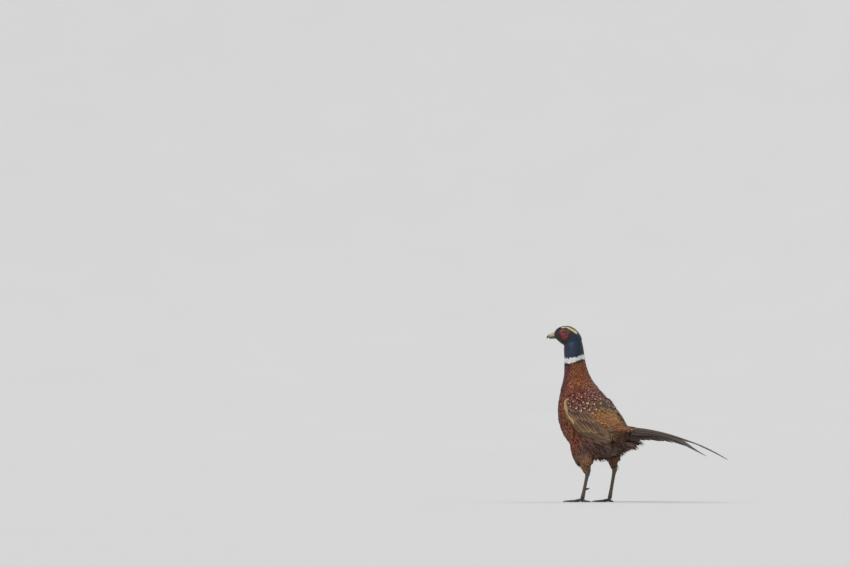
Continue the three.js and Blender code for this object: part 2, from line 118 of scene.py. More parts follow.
def body_place(points):
    """Millimetres along the back from the rump, degrees round from the back's middle line, and the
    guide's direction there."""
    found = np.empty(len(points), int)
    for start in range(0, len(points), 4096):
        some = slice(start, start + 4096)
        found[some] = ((points[some, None] - guide) ** 2).sum(2).argmin(1)
    away = points - guide[found]
    run = guide_run[found] + (away * guide_along[found]).sum(1) / MM
    across = (away * guide_across[found]).sum(1)
    back = (away * guide_back[found]).sum(1)
    return run, np.degrees(np.arctan2(across, back)), guide_along[found]


# Meshes
def new_object(name, points, faces):
    """A smooth mesh of faces that all have the same number of corners."""
    faces = np.asarray(faces, np.int32)
    points = np.asarray(points, np.float32).reshape(-1, 3)
    mesh = bpy.data.meshes.new(name)
    mesh.vertices.add(len(points))
    mesh.vertices.foreach_set("co", points.ravel())
    mesh.loops.add(faces.size)
    mesh.loops.foreach_set("vertex_index", faces.ravel())
    mesh.polygons.add(len(faces))
    mesh.polygons.foreach_set("loop_start", np.arange(0, faces.size, faces.shape[1], dtype=np.int32))
    mesh.polygons.foreach_set("use_smooth", np.full(len(faces), True))
    mesh.update(calc_edges=True)
    made = bpy.data.objects.new(name, mesh)
    bpy.context.scene.collection.objects.link(made)
    return made


def strips(index):
    """Faces between the closed rings of a grid of point numbers."""
    near, far = index[..., :-1, :], index[..., 1:, :]
    ring = [near, np.roll(near, -1, -1), np.roll(far, -1, -1), far]
    return np.stack(ring, -1).reshape(-1, 4)


def ring_faces(index, turn):
    """Outward faces between closed rings whose points go round one way, 1, or the other, -1."""
    return np.roll(strips(index)[:, ::-turn], turn, 1)


def vane_faces(index):
    """Faces of flat forms whose rings have an odd number of points on top and one point below."""
    faces, below = [strips(index)], index.shape[-1] - 1
    for start in range(0, below - 1, 2):
        corner = [start, start + 1, start + 2, below]
        faces += [index[:, 0][:, corner[::-1]], index[:, -1][:, corner]]
    return np.vstack(faces)


def add_attribute(obj, name, values):
    """Keeps numbers, vectors or colours for the points of a mesh."""
    kinds = {1: ("FLOAT", "value"), 3: ("FLOAT_VECTOR", "vector"), 4: ("FLOAT_COLOR", "color")}
    values = np.asarray(values, np.float32).ravel()
    kind, key = kinds[values.size // len(obj.data.vertices)]
    obj.data.attributes.new(name, kind, "POINT").data.foreach_set(key, values)


def add_colour(obj, name, rgb):
    add_attribute(obj, name, np.hstack([rgb, np.ones((len(rgb), 1))]))


def add_bake_map(obj, place_of_point):
    """The map that the finish is kept in: each point's place on it."""
    corner = np.empty(len(obj.data.loops), np.int32)
    obj.data.loops.foreach_get("vertex_index", corner)
    layer = obj.data.uv_layers.new(name="OFBake")
    layer.data.foreach_set("uv", place_of_point.reshape(-1, 2)[corner].astype(np.float32).ravel())


def on_map(across, along):
    """Places on the bake map from two shares of it, inside its margin."""
    return np.stack([0.02 + 0.94 * across, 0.02 + 0.94 * along], 1)


def fetched(rows, key, kind=np.float32):
    """What a mesh holds for its rows, three numbers for each."""
    values = np.empty(len(rows) * 3, kind)
    rows.foreach_get(key, values)
    return values.reshape(-1, 3)


def coordinates(mesh):
    return fetched(mesh.vertices, "co").astype(float)


def normals_of(mesh):
    return fetched(mesh.vertex_normals, "vector").astype(float)


def triangles_of(mesh):
    mesh.calc_loop_triangles()
    return fetched(mesh.loop_triangles, "vertices", np.int32)


def move_points(obj, points):
    obj.data.vertices.foreach_set("co", points.astype(np.float32).ravel())
    obj.data.update()


def with_modifier(obj, kind, **settings):
    modifier = obj.modifiers.new(kind, kind)
    for key, value in settings.items():
        setattr(modifier, key, value)
    graph = bpy.context.evaluated_depsgraph_get()
    obj.data = bpy.data.meshes.new_from_object(obj.evaluated_get(graph))
    obj.modifiers.clear()


def merged(nodes):
    """The points of several nodes, their triangles, and each triangle's node by number."""
    points, faces, owner, count = [], [], [], 0
    for number, name in enumerate(nodes):
        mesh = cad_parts[name].data
        triangles = triangles_of(mesh)
        points.append(coordinates(mesh))
        faces.append(triangles + count)
        owner.append(np.full(len(triangles), number))
        count += len(mesh.vertices)
    return np.vstack(points), np.vstack(faces), np.concatenate(owner)


def remade(name, nodes, voxel, smoothing, thickness=0.45, smooth=True):
    """Several nodes as one smooth form with a fine even mesh."""
    points, faces, _ = merged(nodes)
    made = new_object(name, points, faces)
    with_modifier(made, "WELD", merge_threshold=0.01 * MM)
    with_modifier(made, "SOLIDIFY", thickness=thickness * MM, offset=1)
    with_modifier(made, "REMESH", mode="VOXEL", voxel_size=voxel * MM, use_smooth_shade=smooth)
    with_modifier(made, "SMOOTH", factor=0.5, iterations=smoothing)
    return made


def settle(piece, slot, material, *nodes):
    piece.data.materials.clear()
    piece.data.materials.append(material)
    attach(piece, "root")
    if nodes:
        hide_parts(*nodes)


# The outer form: the flesh nodes as one smooth surface, out to the tips of the feathers.
FLESH = ["head", "neck", "trunk", "tail_coverts_under", "tail_coverts_upper"]
FLESH += [f"{part}_{side}" for part in ("wing", "thigh") for side in SIDES]
flesh_points, flesh_faces, flesh_owner = merged(FLESH)
flesh_tree = BVHTree.FromPolygons(flesh_points.tolist(), flesh_faces.tolist())
outer = remade("outer_form", FLESH, 1.7, 9, thickness=0.9, smooth=False)
outer_points = coordinates(outer.data)
outer_normals = normals_of(outer.data)
outer_faces = triangles_of(outer.data)
outer_tree = BVHTree.FromPolygons(outer_points.tolist(), outer_faces.tolist())


def nearest(points):
    """The nearest places of the outer form, with smooth normals."""
    at, face = np.empty((len(points), 3)), np.empty(len(points), int)
    for i, p in enumerate(points.tolist()):
        at[i], _, face[i], _ = outer_tree.find_nearest(p)
    corner = outer_faces[face]
    weight = 1 / (np.linalg.norm(outer_points[corner] - at[:, None], axis=2) + 1e-6)
    return at, unit((outer_normals[corner] * weight[..., None]).sum(1))


def cast(start, way, miss, reach=1.0):
    """Where lines from the starts meet the outer form, with its normals. A line that meets nothing
    takes the place nearest to the point that far along it."""
    found = []
    for p, w in zip(start.reshape(-1, 3), np.broadcast_to(way, start.shape).reshape(-1, 3)):
        hit = outer_tree.ray_cast(Vector(p), Vector(w), reach)[0]
        found.append(p + w * miss if hit is None else hit)
    at, normal = nearest(np.array(found, float))
    return at.reshape(start.shape), normal.reshape(start.shape)


def owners(points):
    """The flesh node nearest to each place."""
    return np.array([flesh_owner[flesh_tree.find_nearest(p)[2]] for p in points.tolist()])


CLEAR_OF_BODY = 0.12  # metres from the guide to a place outside the body


def on_body(run, round_):
    """The outermost places of the body at millimetres along the back and degrees round it."""
    index = np.clip(np.searchsorted(guide_run, run), 1, len(guide_run) - 1)
    share = ((run - guide_run[index - 1]) / (guide_run[index] - guide_run[index - 1]))[:, None]

    def at(values):
        return values[index - 1] * (1 - share) + values[index] * share

    turn = np.radians(round_)[:, None]
    way = unit(np.cos(turn) * at(guide_back) + np.sin(turn) * at(guide_across))
    return cast(at(guide) + way * CLEAR_OF_BODY, -way, CLEAR_OF_BODY)


# Colours, as red, green and blue on the usual 0 to 255 scale.
def tone(red, green, blue):
    c = np.array([red, green, blue]) / 255
    return np.where(c <= 0.04045, c / 12.92, ((c + 0.055) / 1.055) ** 2.4)


# A feather's colours: the ground, a mark within it and the rim. The mark's centre and half length
# are shares of the feather's length, its half width a share of the vane's, and ring makes it a
# crescent. The rim's width is in millimetres, and below zero there is none.
def style(ground, mark=None, rim=None, form=(0.8, 0.1, 0.3), ring=0, rim_width=-2.0):
    return {"ground": tone(*ground), "mark": tone(*(mark or ground)), "rim": tone(*(rim or ground)),
            "form": np.array(form), "trim": np.array([rim_width, ring, 0])}


SHAFT_STREAK = (0.6, 0.4, 0.16)
STYLES = {
    "copper": style((146, 86, 52), (46, 26, 22), (104, 58, 38), (0.99, 0.24, 0.60), 0, 0.3),
    "plum": style((98, 54, 54), (42, 22, 30), (80, 42, 46), (1.0, 0.15, 0.5), 0, 0.4),
    "line": style((20, 20, 24)),
    "collar": style((226, 226, 222)),
    "blue": style((38, 51, 74)),
    "teal": style((26, 48, 50)),
    "throat": style((38, 36, 42)),
    "maroon": style((116, 62, 48), (44, 26, 30), (98, 48, 42), (0.97, 0.14, 0.5), 0, 0.4),
    "dots": style((108, 56, 46), (214, 188, 160), (92, 46, 40), (0.86, 0.085, 0.34), 0, 0.4),
    "crescent": style((84, 52, 44), (214, 190, 154), (108, 58, 44), (0.70, 0.22, 0.48), 1, 1.0),
    "goldspot": style((104, 62, 42), (172, 124, 74), (92, 52, 38), (0.84, 0.12, 0.4), 0, 0.5),
    "breast": style((140, 78, 50), (28, 18, 24), (112, 60, 44), (0.90, 0.17, 0.62), 0, 0.3),
    "flank": style((138, 78, 52), (24, 17, 20), (124, 68, 46), (0.87, 0.16, 0.58), 0, 0.3),
    "side": style((126, 94, 72), (100, 74, 58), (112, 84, 64), (0.55, 0.4, 0.14), 0, 0.6),
    "belly": style((96, 72, 64)),
    "vent": style((112, 88, 80)),
    "slate": style((90, 76, 62), (62, 57, 54), (104, 84, 60), (0.7, 0.2, 0.5), 1, 0.8),
    "olive": style((152, 106, 60), (112, 80, 48), (134, 92, 52), (0.66, 0.2, 0.55), 1, 0.9),
    "rust": style((144, 88, 50), (120, 74, 44), (126, 76, 45), SHAFT_STREAK, 0, 0.8),
    "grey": style((98, 80, 66), (80, 66, 58), (110, 84, 62), SHAFT_STREAK, 0, 0.8),
    "tail_root": style((132, 100, 76), (104, 80, 62), (120, 90, 68), SHAFT_STREAK, 0, 0.8),
    "undertail": style((128, 98, 86), (108, 80, 70), (116, 88, 76), SHAFT_STREAK, 0, 0.6),
    "thigh": style((144, 104, 74), (116, 84, 60), (122, 90, 66), SHAFT_STREAK, 0, 0.6),
    "forehead": style((36, 34, 34)),
    "crown": style((98, 88, 60), (80, 74, 54)),
    "brow": style((222, 204, 158)),
    "cheek": style((44, 44, 40), (38, 38, 34)),
    "lores": style((58, 42, 42)),
    "chin": style((34, 40, 38)),
    "quill": style((84, 67, 53), (60, 47, 40), (124, 98, 70), (0.55, 0.5, 0.45), 0, 0.8),
    "tertial": style((90, 68, 51), (66, 43, 38), (152, 114, 70), (0.55, 0.42, 0.5), 0, 1.2),
    "covert": style((98, 74, 53), (64, 40, 36), (152, 122, 82), (0.60, 0.40, 0.55), 0, 1.3),
    "stripe": style((168, 140, 98), (128, 98, 70), (180, 152, 108), (0.6, 0.36, 0.34), 0, 1.0),
    "lesser": style((112, 76, 54), (80, 50, 42), (140, 104, 72), (0.75, 0.25, 0.45), 0, 0.9),
}
STYLE = {name: index for index, name in enumerate(STYLES)}


def looks_of(styles):
    """What a material reads, for feathers or points of the given styles."""
    keys = STYLES["line"]
    return {key: np.array([each[key] for each in STYLES.values()])[styles] for key in keys}


# The edges of the plumage's areas, in millimetres along the back and degrees round it.
COLLAR_BACK = (331.5, 341.5)  # lower and upper edge of the white ring at the nape
COLLAR_FRONT = (327.0, 338.5)
COLLAR_SAG = 4.5  # how much lower it hangs at the sides of the neck
COLLAR_LINE = (6.5, 4.0)  # depth of the black edge below it, at the nape and in front
NECK_FOOT = 252
SCAPULAR_EDGE = [(30, 92), (35, 84), (55, 60), (76, 49), (97, 46), (117, 43), (139, 46), (157, 55),
                 (193, 61), (216, 69), (240, 70)]
FLANK_EDGE = [(25, 94), (33, 105), (44, 105), (62, 100), (80, 98), (101, 98), (120, 98), (134, 91),
              (147, 84), (165, 79), (185, 75), (216, 72), (240, 70)]


def edge_at(table, run):
    return np.interp(run, *np.array(table, float).T)


def body_style(run, round_, jitter):
    """Which style the feathers of trunk and neck have at each place. Later areas lie on earlier ones."""
    side = np.abs(round_) + 3.5 * jitter
    along = run + 3.0 * jitter
    front = ramp(np.abs(round_), 40, 130)
    sag = COLLAR_SAG * ramp(np.abs(round_), 15, 75) * (1 - ramp(np.abs(round_), 100, 150))
    low, high = (back + (ahead - back) * front - sag for back, ahead in zip(COLLAR_BACK, COLLAR_FRONT))
    low, high = low + 0.5 * jitter, high + 0.9 * jitter
    line = low - (COLLAR_LINE[0] + (COLLAR_LINE[1] - COLLAR_LINE[0]) * front)
    scapular = edge_at(SCAPULAR_EDGE, run)
    areas = [
        ("breast", (side > 84) & (along < 252)),
        ("flank", (side > 92) & (along < 208)),
        ("belly", (side > 106) & (along < 118)),
        ("belly", (side > 148) & (along < 160)),
        ("vent", (side > 84) & (along < 62)),
        ("undertail", (side > 112) & (along < 6)),
        ("side", (side > 62) & (side <= 106) & (along < 96)),
        ("dots", (side < scapular + 6) & (along > 188) & (along < 240)),
        ("crescent", (side < scapular + 4) & (along > 116) & (along <= 188)),
        ("goldspot", (side < scapular + 4) & (along > 46) & (along <= 116)),
        ("slate", (side < 16 + 4 * jitter) & (along > 112) & (along < 150)),
        ("olive", (side < 38) & (along > 34) & (along <= 114) & (side < scapular - 4)),
        ("rust", (side < 66) & (along > -6) & (along <= 40)),
        ("grey", (side > 48) & (side < 84) & (along > 27) & (along <= 52)),
        ("tail_root", (side < 84) & (along <= -6)),
        ("copper", (side < 82) & (along > NECK_FOOT)),
        ("plum", (side >= 82) & (along > NECK_FOOT - 6)),
        ("line", run > line),
        ("collar", run > low),
        ("teal", run > high),
        ("blue", (run > high) & (side > 52) & (run + 0.25 * side > high + 19)),
        ("throat", (run > high) & (side > 132)),
    ]
    return styles_from("maroon", areas, len(run))


def styles_from(first, areas, number):
    found = np.full(number, STYLE[first])
    for name, where in areas:
        found[where] = STYLE[name]
    return found


BROW_LINE = [(-27, -4.5), (-25.3, -2.9), (-18.6, 1.6), (-10.8, 6.4), (-2.3, 10.0), (9.2, 9.6), (12, 8.5)]
BROW_HALF = [(-27, 2.6), (-15, 2.4), (-2, 1.3), (10, 0.9)]


def head_style(left, ahead, up, jitter):
    """Which style the head's feathers have, by millimetres left, ahead and above the eyes' middle."""
    brow = edge_at(BROW_LINE, ahead)
    half = edge_at(BROW_HALF, ahead)
    reach = ahead + 1.2 * jitter
    off = np.abs(left)
    areas = [
        ("teal", (reach < -19) | (up < -17 + 0.8 * jitter)),
        ("blue", (up < -17) & (reach < 1) & (off > 6)),
        ("blue", (reach < -14) & (up < -8) & (off > 7)),
        ("chin", (up < -14) & (reach > -1)),
        ("lores", (reach > 12) & (up > -13)),
        ("forehead", (reach > 8.5) & (up > 2)),
        ("crown", (up > brow + half) & (ahead < 10) & (ahead > -27)),
        ("brow", (np.abs(up - brow) < half) & (ahead < 11.5) & (ahead > -26.5) & (off > 3)),
        ("teal", (ahead < -25) & (off < 5)),
    ]
    return styles_from("cheek", areas, len(left))


# Each leg's knee, hock and toe base.
LEGS = {
    "left": ((40, 24, 128), (38, -5, 68), (30, 28, 8.5)),
    "right": ((-40, 22, 134), (-34, -10, 77), (-33, 9, 8.5)),
}


def leg_place(points, side):
    """Share of the way from knee to hock, and degrees round that line from the front."""
    knee, hock, _ = (place(*p) for p in LEGS[side])
    line = hock - knee
    away = points - knee
    share = away @ line / (line @ line)
    off = away - share[:, None] * line
    return share, np.degrees(np.arctan2(off @ LEFT, off @ unit(np.cross(LEFT, line))))


# Tracts of plumage on the outer form, from the nodes it was made of.
HEAD, NECK, TRUNK, THIGH = range(4)
NECK_TOP = 246  # millimetres along the back where the neck's feathers start
outer_owner = owners(outer_points)
outer_run, outer_round, _ = body_place(outer_points)
outer_left, outer_ahead, outer_up = head_place(outer_points)
on_head = (outer_owner == FLESH.index("head")) & (outer_up > -33)
on_wing, on_thigh = (np.isin(outer_owner, [FLESH.index(f"{part}_{side}") for side in SIDES])
                     for part in ("wing", "thigh"))
outer_tract = np.where(outer_run > NECK_TOP, NECK, TRUNK)
outer_tract[on_thigh] = THIGH
outer_tract[on_head] = HEAD
outer_tract[on_wing] = TRUNK
outer_share = np.where(outer_points[:, 0] > 0, *(leg_place(outer_points, side)[0] for side in SIDES))


def spacing_of(tract, run, round_, ahead, share):
    """Millimetres from one feather to the next."""
    trunk = np.interp(run, [-60, 0, 60, 110, 150, 200, 246, 275, 315, 324, 372],
                      [7.0, 7.0, 6.8, 8.2, 8.6, 8.2, 6.6, 5.8, 4.4, 2.7, 2.3])
    trunk = trunk + 0.9 * ramp(np.abs(round_), 80, 100) * (run < 215)
    head = np.interp(ahead, [-32, -20, 0, 20], [2.2, 1.8, 1.45, 1.2])
    thigh = np.interp(share, [-0.3, 0.5, 1.0], [7.0, 5.6, 3.4])
    return np.select([tract == HEAD, tract == THIGH], [head, thigh], trunk)


outer_spacing = spacing_of(outer_tract, outer_run, outer_round, outer_ahead, outer_share)
COAT_DEPTH = 0.22  # depth of the plumage against the spacing of its feathers


def shown_wing(run, round_):
    """Whether a place lies where the wing's own rows of long feathers are."""
    side = np.abs(round_)
    return (side > edge_at(SCAPULAR_EDGE, run) - 1) & (side < edge_at(FLANK_EDGE, run) + 1)


# Shader nodes, as values that can be added and multiplied.
class Value:
    def __init__(self, socket):
        self.socket = socket

    def __add__(self, other):
        return maths("ADD", self, other)

    def __sub__(self, other):
        return maths("SUBTRACT", self, other)

    def __rsub__(self, other):
        return maths("SUBTRACT", other, self)

    def __mul__(self, other):
        return maths("MULTIPLY", self, other)

    def __truediv__(self, other):
        return maths("DIVIDE", self, other)

    def __abs__(self):
        return maths("ABSOLUTE", self)


def node(kind, inputs, tree=None, output=0, **settings):
    """One output of a new shader node, in the tree of its inputs if no other is given."""
    tree = tree or next(v.socket.id_data for v in inputs.values() if isinstance(v, Value))
    made = tree.nodes.new(kind)
    for key, value in settings.items():
        setattr(made, key, value)
    for key, value in inputs.items():
        if isinstance(value, Value):
            tree.links.new(value.socket, made.inputs[key])
        else:
            made.inputs[key].default_value = value
    return Value(made.outputs[output])


def maths(operation, a, b=0.0):
    return node("ShaderNodeMath", {0: a, 1: b}, operation=operation)


def between(value, low, high, to_low=0.0, to_high=1.0):
    """A smooth step of a value from low to high."""
    ends = {"Value": value, "From Min": low, "From Max": high, "To Min": to_low, "To Max": to_high}
    return node("ShaderNodeMapRange", ends, interpolation_type="SMOOTHSTEP")


def mixed(share, a, b, blend="MIX"):
    return node("ShaderNodeMix", {0: share, 6: a, 7: b}, output=2, data_type="RGBA", blend_type=blend)


def read(tree, name, output="Vector"):
    return node("ShaderNodeAttribute", {}, tree, output, attribute_name=name)


def read_parts(tree, name):
    """The three numbers of a vector that the mesh keeps."""
    made = node("ShaderNodeSeparateXYZ", {0: read(tree, name)})
    return [Value(output) for output in made.socket.node.outputs]


def joined(x, y=0.0, z=0.0):
    return node("ShaderNodeCombineXYZ", {0: x, 1: y, 2: z})


def noise(vector, scale, detail=2.0, rough=0.5):
    inputs = {"Vector": vector, "Scale": scale, "Detail": detail, "Roughness": rough}
    return node("ShaderNodeTexNoise", inputs, output="Fac")


def shaded(colour, light):
    return mixed(1.0, colour, joined(light, light, light), "MULTIPLY")


def rgba(red, green, blue):
    return (*[float(c) for c in tone(red, green, blue)], 1.0)


def new_material(name, colour_of, bump, **sockets):
    """A material whose colour, and height for the bump, come from nodes. The bump is given as its
    strength and its distance in millimetres."""
    material = bpy.data.materials.new(name)
    material.use_nodes = True
    tree = material.node_tree
    shader = tree.nodes["Principled BSDF"]
    for key, value in sockets.items():
        shader.inputs[key.replace("_", " ")].default_value = value
    colour, height = colour_of(tree)
    tree.links.new(colour.socket, shader.inputs["Base Color"])
    raised = node("ShaderNodeBump", {"Strength": bump[0], "Distance": bump[1] * MM, "Height": height})
    tree.links.new(raised.socket, shader.inputs["Normal"])
    return material


def barb_streaks(barb, side, luck):
    """Fine streaks that follow the barbs of one vane."""
    return noise(joined(barb * 2.6, side * 0.7, luck * 50.0), 1.0, 2.0, 0.6)


def feather_colour(tree):
    """Ground, mark and rim of each small feather, streaked along its barbs."""
    side, along, edge = read_parts(tree, "vane")
    barb, luck, _ = read_parts(tree, "lay")
    centre, half_length, half_width = read_parts(tree, "form")
    rim_width, ring, _ = read_parts(tree, "trim")
    ground, mark_colour, rim_colour = (read(tree, name, "Color") for name in ("ground", "mark", "rim"))
    streak = barb_streaks(barb, side, luck)
    wobble = streak - 0.5
    across = side / half_width
    down = (along - centre) / half_length
    reach = maths("SQRT", across * across + down * down) + wobble * 0.5
    hoop = between(abs(reach - 1.0), 0.32, 0.16) * between(down, -0.25, 0.15)
    mark = between(reach, 1.15, 0.8) * (1.0 - ring) + hoop * ring
    rim = between(edge + wobble * 0.7 - rim_width, 0.3, -0.2)
    colour = mixed(mark, mixed(rim, ground, rim_colour), mark_colour)
    shaft = between(abs(side), 0.09, 0.03, 0.0, 0.12)
    light = streak * 0.9 + luck * 0.35 + shaft + 0.4
    return shaded(colour, light * between(along, 0.1, 0.5, 0.45, 1.0)), streak


def skin_colour(tree):
    """The same grounds as the coat, darker, with the grain of bare quill roots."""
    grain = noise(read(tree, "spot"), 0.5, 3.0, 0.6)
    return shaded(read(tree, "ground", "Color"), grain * 0.5 + 0.25), grain


# Materials of the plumage, by how much they shine.
glossy = new_material("glossy_feather", feather_colour, (0.35, 0.12), Roughness=0.42, Metallic=0.12,
                      Specular_IOR_Level=0.4)
satin = new_material("satin_feather", feather_colour, (0.35, 0.12), Roughness=0.6, Specular_IOR_Level=0.2)
soft = new_material("soft_feather", feather_colour, (0.3, 0.12), Roughness=0.8, Sheen_Weight=0.04,
                    Specular_IOR_Level=0.12)
skin_material = new_material("bird_skin", skin_colour, (0.4, 0.3), Roughness=0.7)

# The skin lies inside the outer form by the coat's depth. Thin places keep some of their thickness.
THIN_SHARE = 0.33


def build_skin():
    depth = np.ones(len(outer_points))
    for i, (p, n) in enumerate(zip(outer_points, outer_normals)):
        depth[i] = outer_tree.ray_cast(Vector(p - n * 0.05 * MM), Vector(-n))[3] or 1
    still = np.zeros(len(outer_points))
    styles = body_style(outer_run, outer_round, still)
    styles = np.where(outer_tract == HEAD, head_style(outer_left, outer_ahead, outer_up, still), styles)
    styles[on_thigh & (outer_share > 0.25)] = STYLE["thigh"]
    styles[on_wing & shown_wing(outer_run, outer_round)] = STYLE["lesser"]
    skin = outer.copy()
    skin.data = outer.data.copy()
    skin.name = "skin"
    bpy.context.scene.collection.objects.link(skin)
    inwards = np.minimum(COAT_DEPTH * outer_spacing * MM, THIN_SHARE * depth)
    move_points(skin, outer_points - outer_normals * inwards[:, None])
    with_modifier(skin, "SMOOTH", factor=0.5, iterations=4)
    add_colour(skin, "ground", looks_of(styles)["ground"])
    add_attribute(skin, "spot", outer_points / MM)
    settle(skin, "body_plumage", skin_material, *FLESH)


# The vane of a feather: rings of points over its breadth, closed below by one line of points.
def build_vanes(name, centre, normal, half, columns, looks, uv, camber=0.09, thick=0.035, frayed=0.05):
    """One joined mesh of feathers, with what their material reads. Looks holds a value or colour for
    each feather, and uv each feather's place on the bake map with its patch."""
    n, k = half.shape
    run = np.cumsum(np.linalg.norm(np.diff(centre, axis=1), axis=2), 1)
    run = np.hstack([np.zeros((n, 1)), run])
    length = run[:, -1:]
    share = run / length
    fray = chance.uniform(-1, 1, (n, k, columns)) * frayed * ramp(share, 0.55, 1.0)[..., None]
    fray[:, :, columns // 2] *= 0.3
    half = half * (1 + 0.07 * chance.uniform(-1, 1, (n, k)) * (share > 0.3))
    along = unit(np.gradient(centre, axis=1))
    across = unit(np.cross(along, normal))
    over = np.cross(across, along)
    side = np.linspace(-1, 1, columns)
    wide, drop = half[..., None] * side, -camber * half[..., None] * side**2
    top = centre[:, :, None] + across[:, :, None] * wide[..., None] + over[:, :, None] * drop[..., None]
    top = top + along[:, :, None] * (fray * length[..., None])[..., None]
    below = centre - over * (thick * half + 0.05 * MM)[..., None]
    points = np.concatenate([top, below[:, :, None]], 2)
    index = np.arange(n * k * (columns + 1)).reshape(n, k, -1)
    made = new_object(name, points, vane_faces(index))

    half_mm, length_mm = half[..., None] / MM, length[..., None] / MM
    luck = looks["luck"][:, None, None]
    side, share, luck = np.broadcast_arrays(np.append(side, 0), share[..., None], luck)
    edge = np.minimum(half_mm * (1 - np.abs(side)), length_mm * (1 - share))
    edge[..., -1] = half_mm[..., 0]
    barb = run[..., None] / MM - 0.9 * half_mm * np.abs(side)
    add_attribute(made, "vane", np.stack([side, share, edge], -1))
    add_attribute(made, "lay", np.stack([barb, luck, 0 * luck], -1))
    each = k * (columns + 1)
    for key in ("ground", "mark", "rim"):
        add_colour(made, key, np.repeat(looks[key], each, 0))
    for key in ("form", "trim"):
        add_attribute(made, key, np.repeat(looks[key], each, 0))
    base, patch_across, patch_along = uv
    spread = np.stack([side * patch_across / 2, share * patch_along], -1)
    add_bake_map(made, base[:, None, None] + spread)
    return made


def rounded(share, widest=0.62, root=0.3, tip=0.1):
    """Half width of a vane along its length, against its full half width."""
    rise = root + (1 - root) * ramp(share, 0, widest)
    end = np.sqrt(np.clip(1 - (np.clip(share - widest, 0, 1) / (1 - widest)) ** 2, 0, 1))
    return np.maximum(rise * end, tip)


PAST_EDGE = 0.62  # where the form has turned this much, a feather goes straight on instead
CLEAR = 2.6  # millimetres off the form at which such a feather is held back
HELD_STEP = 0.15  # share of its step that a feather held back still takes


def follow(start, way, length, shares):
    """Lines over the outer form from each start, with the form's normals."""
    at, normal = nearest(start)
    lines, normals, first = [at], [normal], normal
    way = flat_on(way, normal)
    for step in np.diff(shares):
        reach = at + way * (length * step)[:, None]
        new, new_normal = nearest(reach)
        past = (new_normal * first).sum(1, keepdims=True) < PAST_EDGE
        gap = np.linalg.norm(reach - new, axis=1, keepdims=True)
        reach = np.where(gap > CLEAR * MM, at + HELD_STEP * (reach - at), reach)
        new, normal = np.where(past, reach, new), np.where(past, normal, new_normal)
        way = np.where(past, way, unit(0.5 * way + 0.5 * unit(new - at)))
        way = flat_on(way, normal)
        at = new
        lines.append(at)
        normals.append(normal)
    return np.stack(lines, 1), np.stack(normals, 1)


def scatter(tract, order, wanted=True, crowd=15, closeness=0.93):
    """Places on a tract of the outer form, no two nearer than their spacing, packed along the
    lie of the coat so that they fall into staggered rows."""
    tests = (outer_tract == tract, np.broadcast_to(wanted, len(outer_points)))
    corner = outer_faces[np.all([test[outer_faces].sum(1) >= 2 for test in tests], axis=0)]
    a, b, c = (outer_points[corner[:, i]] for i in range(3))
    area = np.linalg.norm(np.cross(b - a, c - a), axis=1) / 2 / MM**2
    gap = outer_spacing[corner].mean(1)
    weight = area / gap**2
    number = int(weight.sum() * crowd)
    pick = chance.choice(len(corner), number, p=weight / weight.sum())
    u, v = chance.random((2, number))
    over = u + v > 1
    u[over], v[over] = 1 - u[over], 1 - v[over]
    shares = np.stack([1 - u - v, u, v], 1)[..., None]
    points = (outer_points[corner[pick]] * shares).sum(1)
    rank = (order[corner[pick]] * shares[..., 0]).sum(1)
    spacing = gap[pick]
    cell = spacing.max()
    kept, grid = [], {}
    keys = np.floor(points / MM / cell).astype(int).tolist()
    spots = (points / MM).tolist()
    limits = [space**2 for space in (spacing * closeness).tolist()]
    around = [(x, y, z) for x in (-1, 0, 1) for y in (-1, 0, 1) for z in (-1, 0, 1)]
    for i in np.argsort(rank + 0.15 * spacing * chance.random(number)).tolist():
        x, y, z = spots[i]
        kx, ky, kz = keys[i]
        near = (spot for dx, dy, dz in around for spot in grid.get((kx + dx, ky + dy, kz + dz), ()))
        if all((px - x) ** 2 + (py - y) ** 2 + (pz - z) ** 2 >= limits[i] for px, py, pz in near):
            kept.append(i)
            grid.setdefault((kx, ky, kz), []).append((x, y, z))
    return points[kept], spacing[kept]


# Small feathers of one tract: laid over the outer form from roots in the skin, tips at the form.
FINE_RINGS = np.array([0, 0.2, 0.4, 0.58, 0.74, 0.88, 0.96, 1.0])
SMALL_RINGS = np.array([0, 0.35, 0.62, 0.82, 0.94, 1.0])
PATCH = 0.003  # size of a small feather on the bake map
LENGTH = 2.9  # of a feather, against the spacing
WIDTH = 0.64
BEFORE = 0.8  # share of a feather that lies before its own place
BLENDED = 7  # how many feathers share their colours, and how many of the glossy ones do
GLOSSY_BLENDED = 19
STRAY = 0.35  # share of its length by which a feather may miss its own place before it is left out
THIGH_STRAY = 0.6
MARK_GAP = 10.5  # millimetres from one bright mark of the mantle to the next; those between are dull
DULL = 0.22
SHARP = [STYLE[name] for name in ("collar", "line", "brow", "forehead")]
SPOTTED = [STYLE[name] for name in ("dots", "crescent")]


def blended(points, styles, colours, many=BLENDED):
    """Each feather's colour, mixed with those of the feathers round it unless one is sharp edged."""
    tree = KDTree(len(points))
    for i, p in enumerate(points.tolist()):
        tree.insert(p, i)
    tree.balance()
    near = np.array([[hit[1] for hit in tree.find_n(p, many)] for p in points.tolist()])
    sharp = np.isin(styles, SHARP)
    weight = (sharp[near] == sharp[:, None]).astype(float)
    weight[sharp, 1:] = 0
    return (colours[near] * weight[..., None]).sum(1) / weight.sum(1)[:, None]


def spread_out(points, gap):
    """Which of the points to keep so that no two are nearer than the gap."""
    kept = np.zeros(len(points), bool)
    for i, point in enumerate(points):
        kept[i] = (np.linalg.norm(points[kept] - point, axis=1) > gap).all()
    return kept


def turned(way, normal, angle):
    """Directions turned about their normals."""
    c, s = np.cos(angle)[:, None], np.sin(angle)[:, None]
    return way * c + np.cross(normal, way) * s


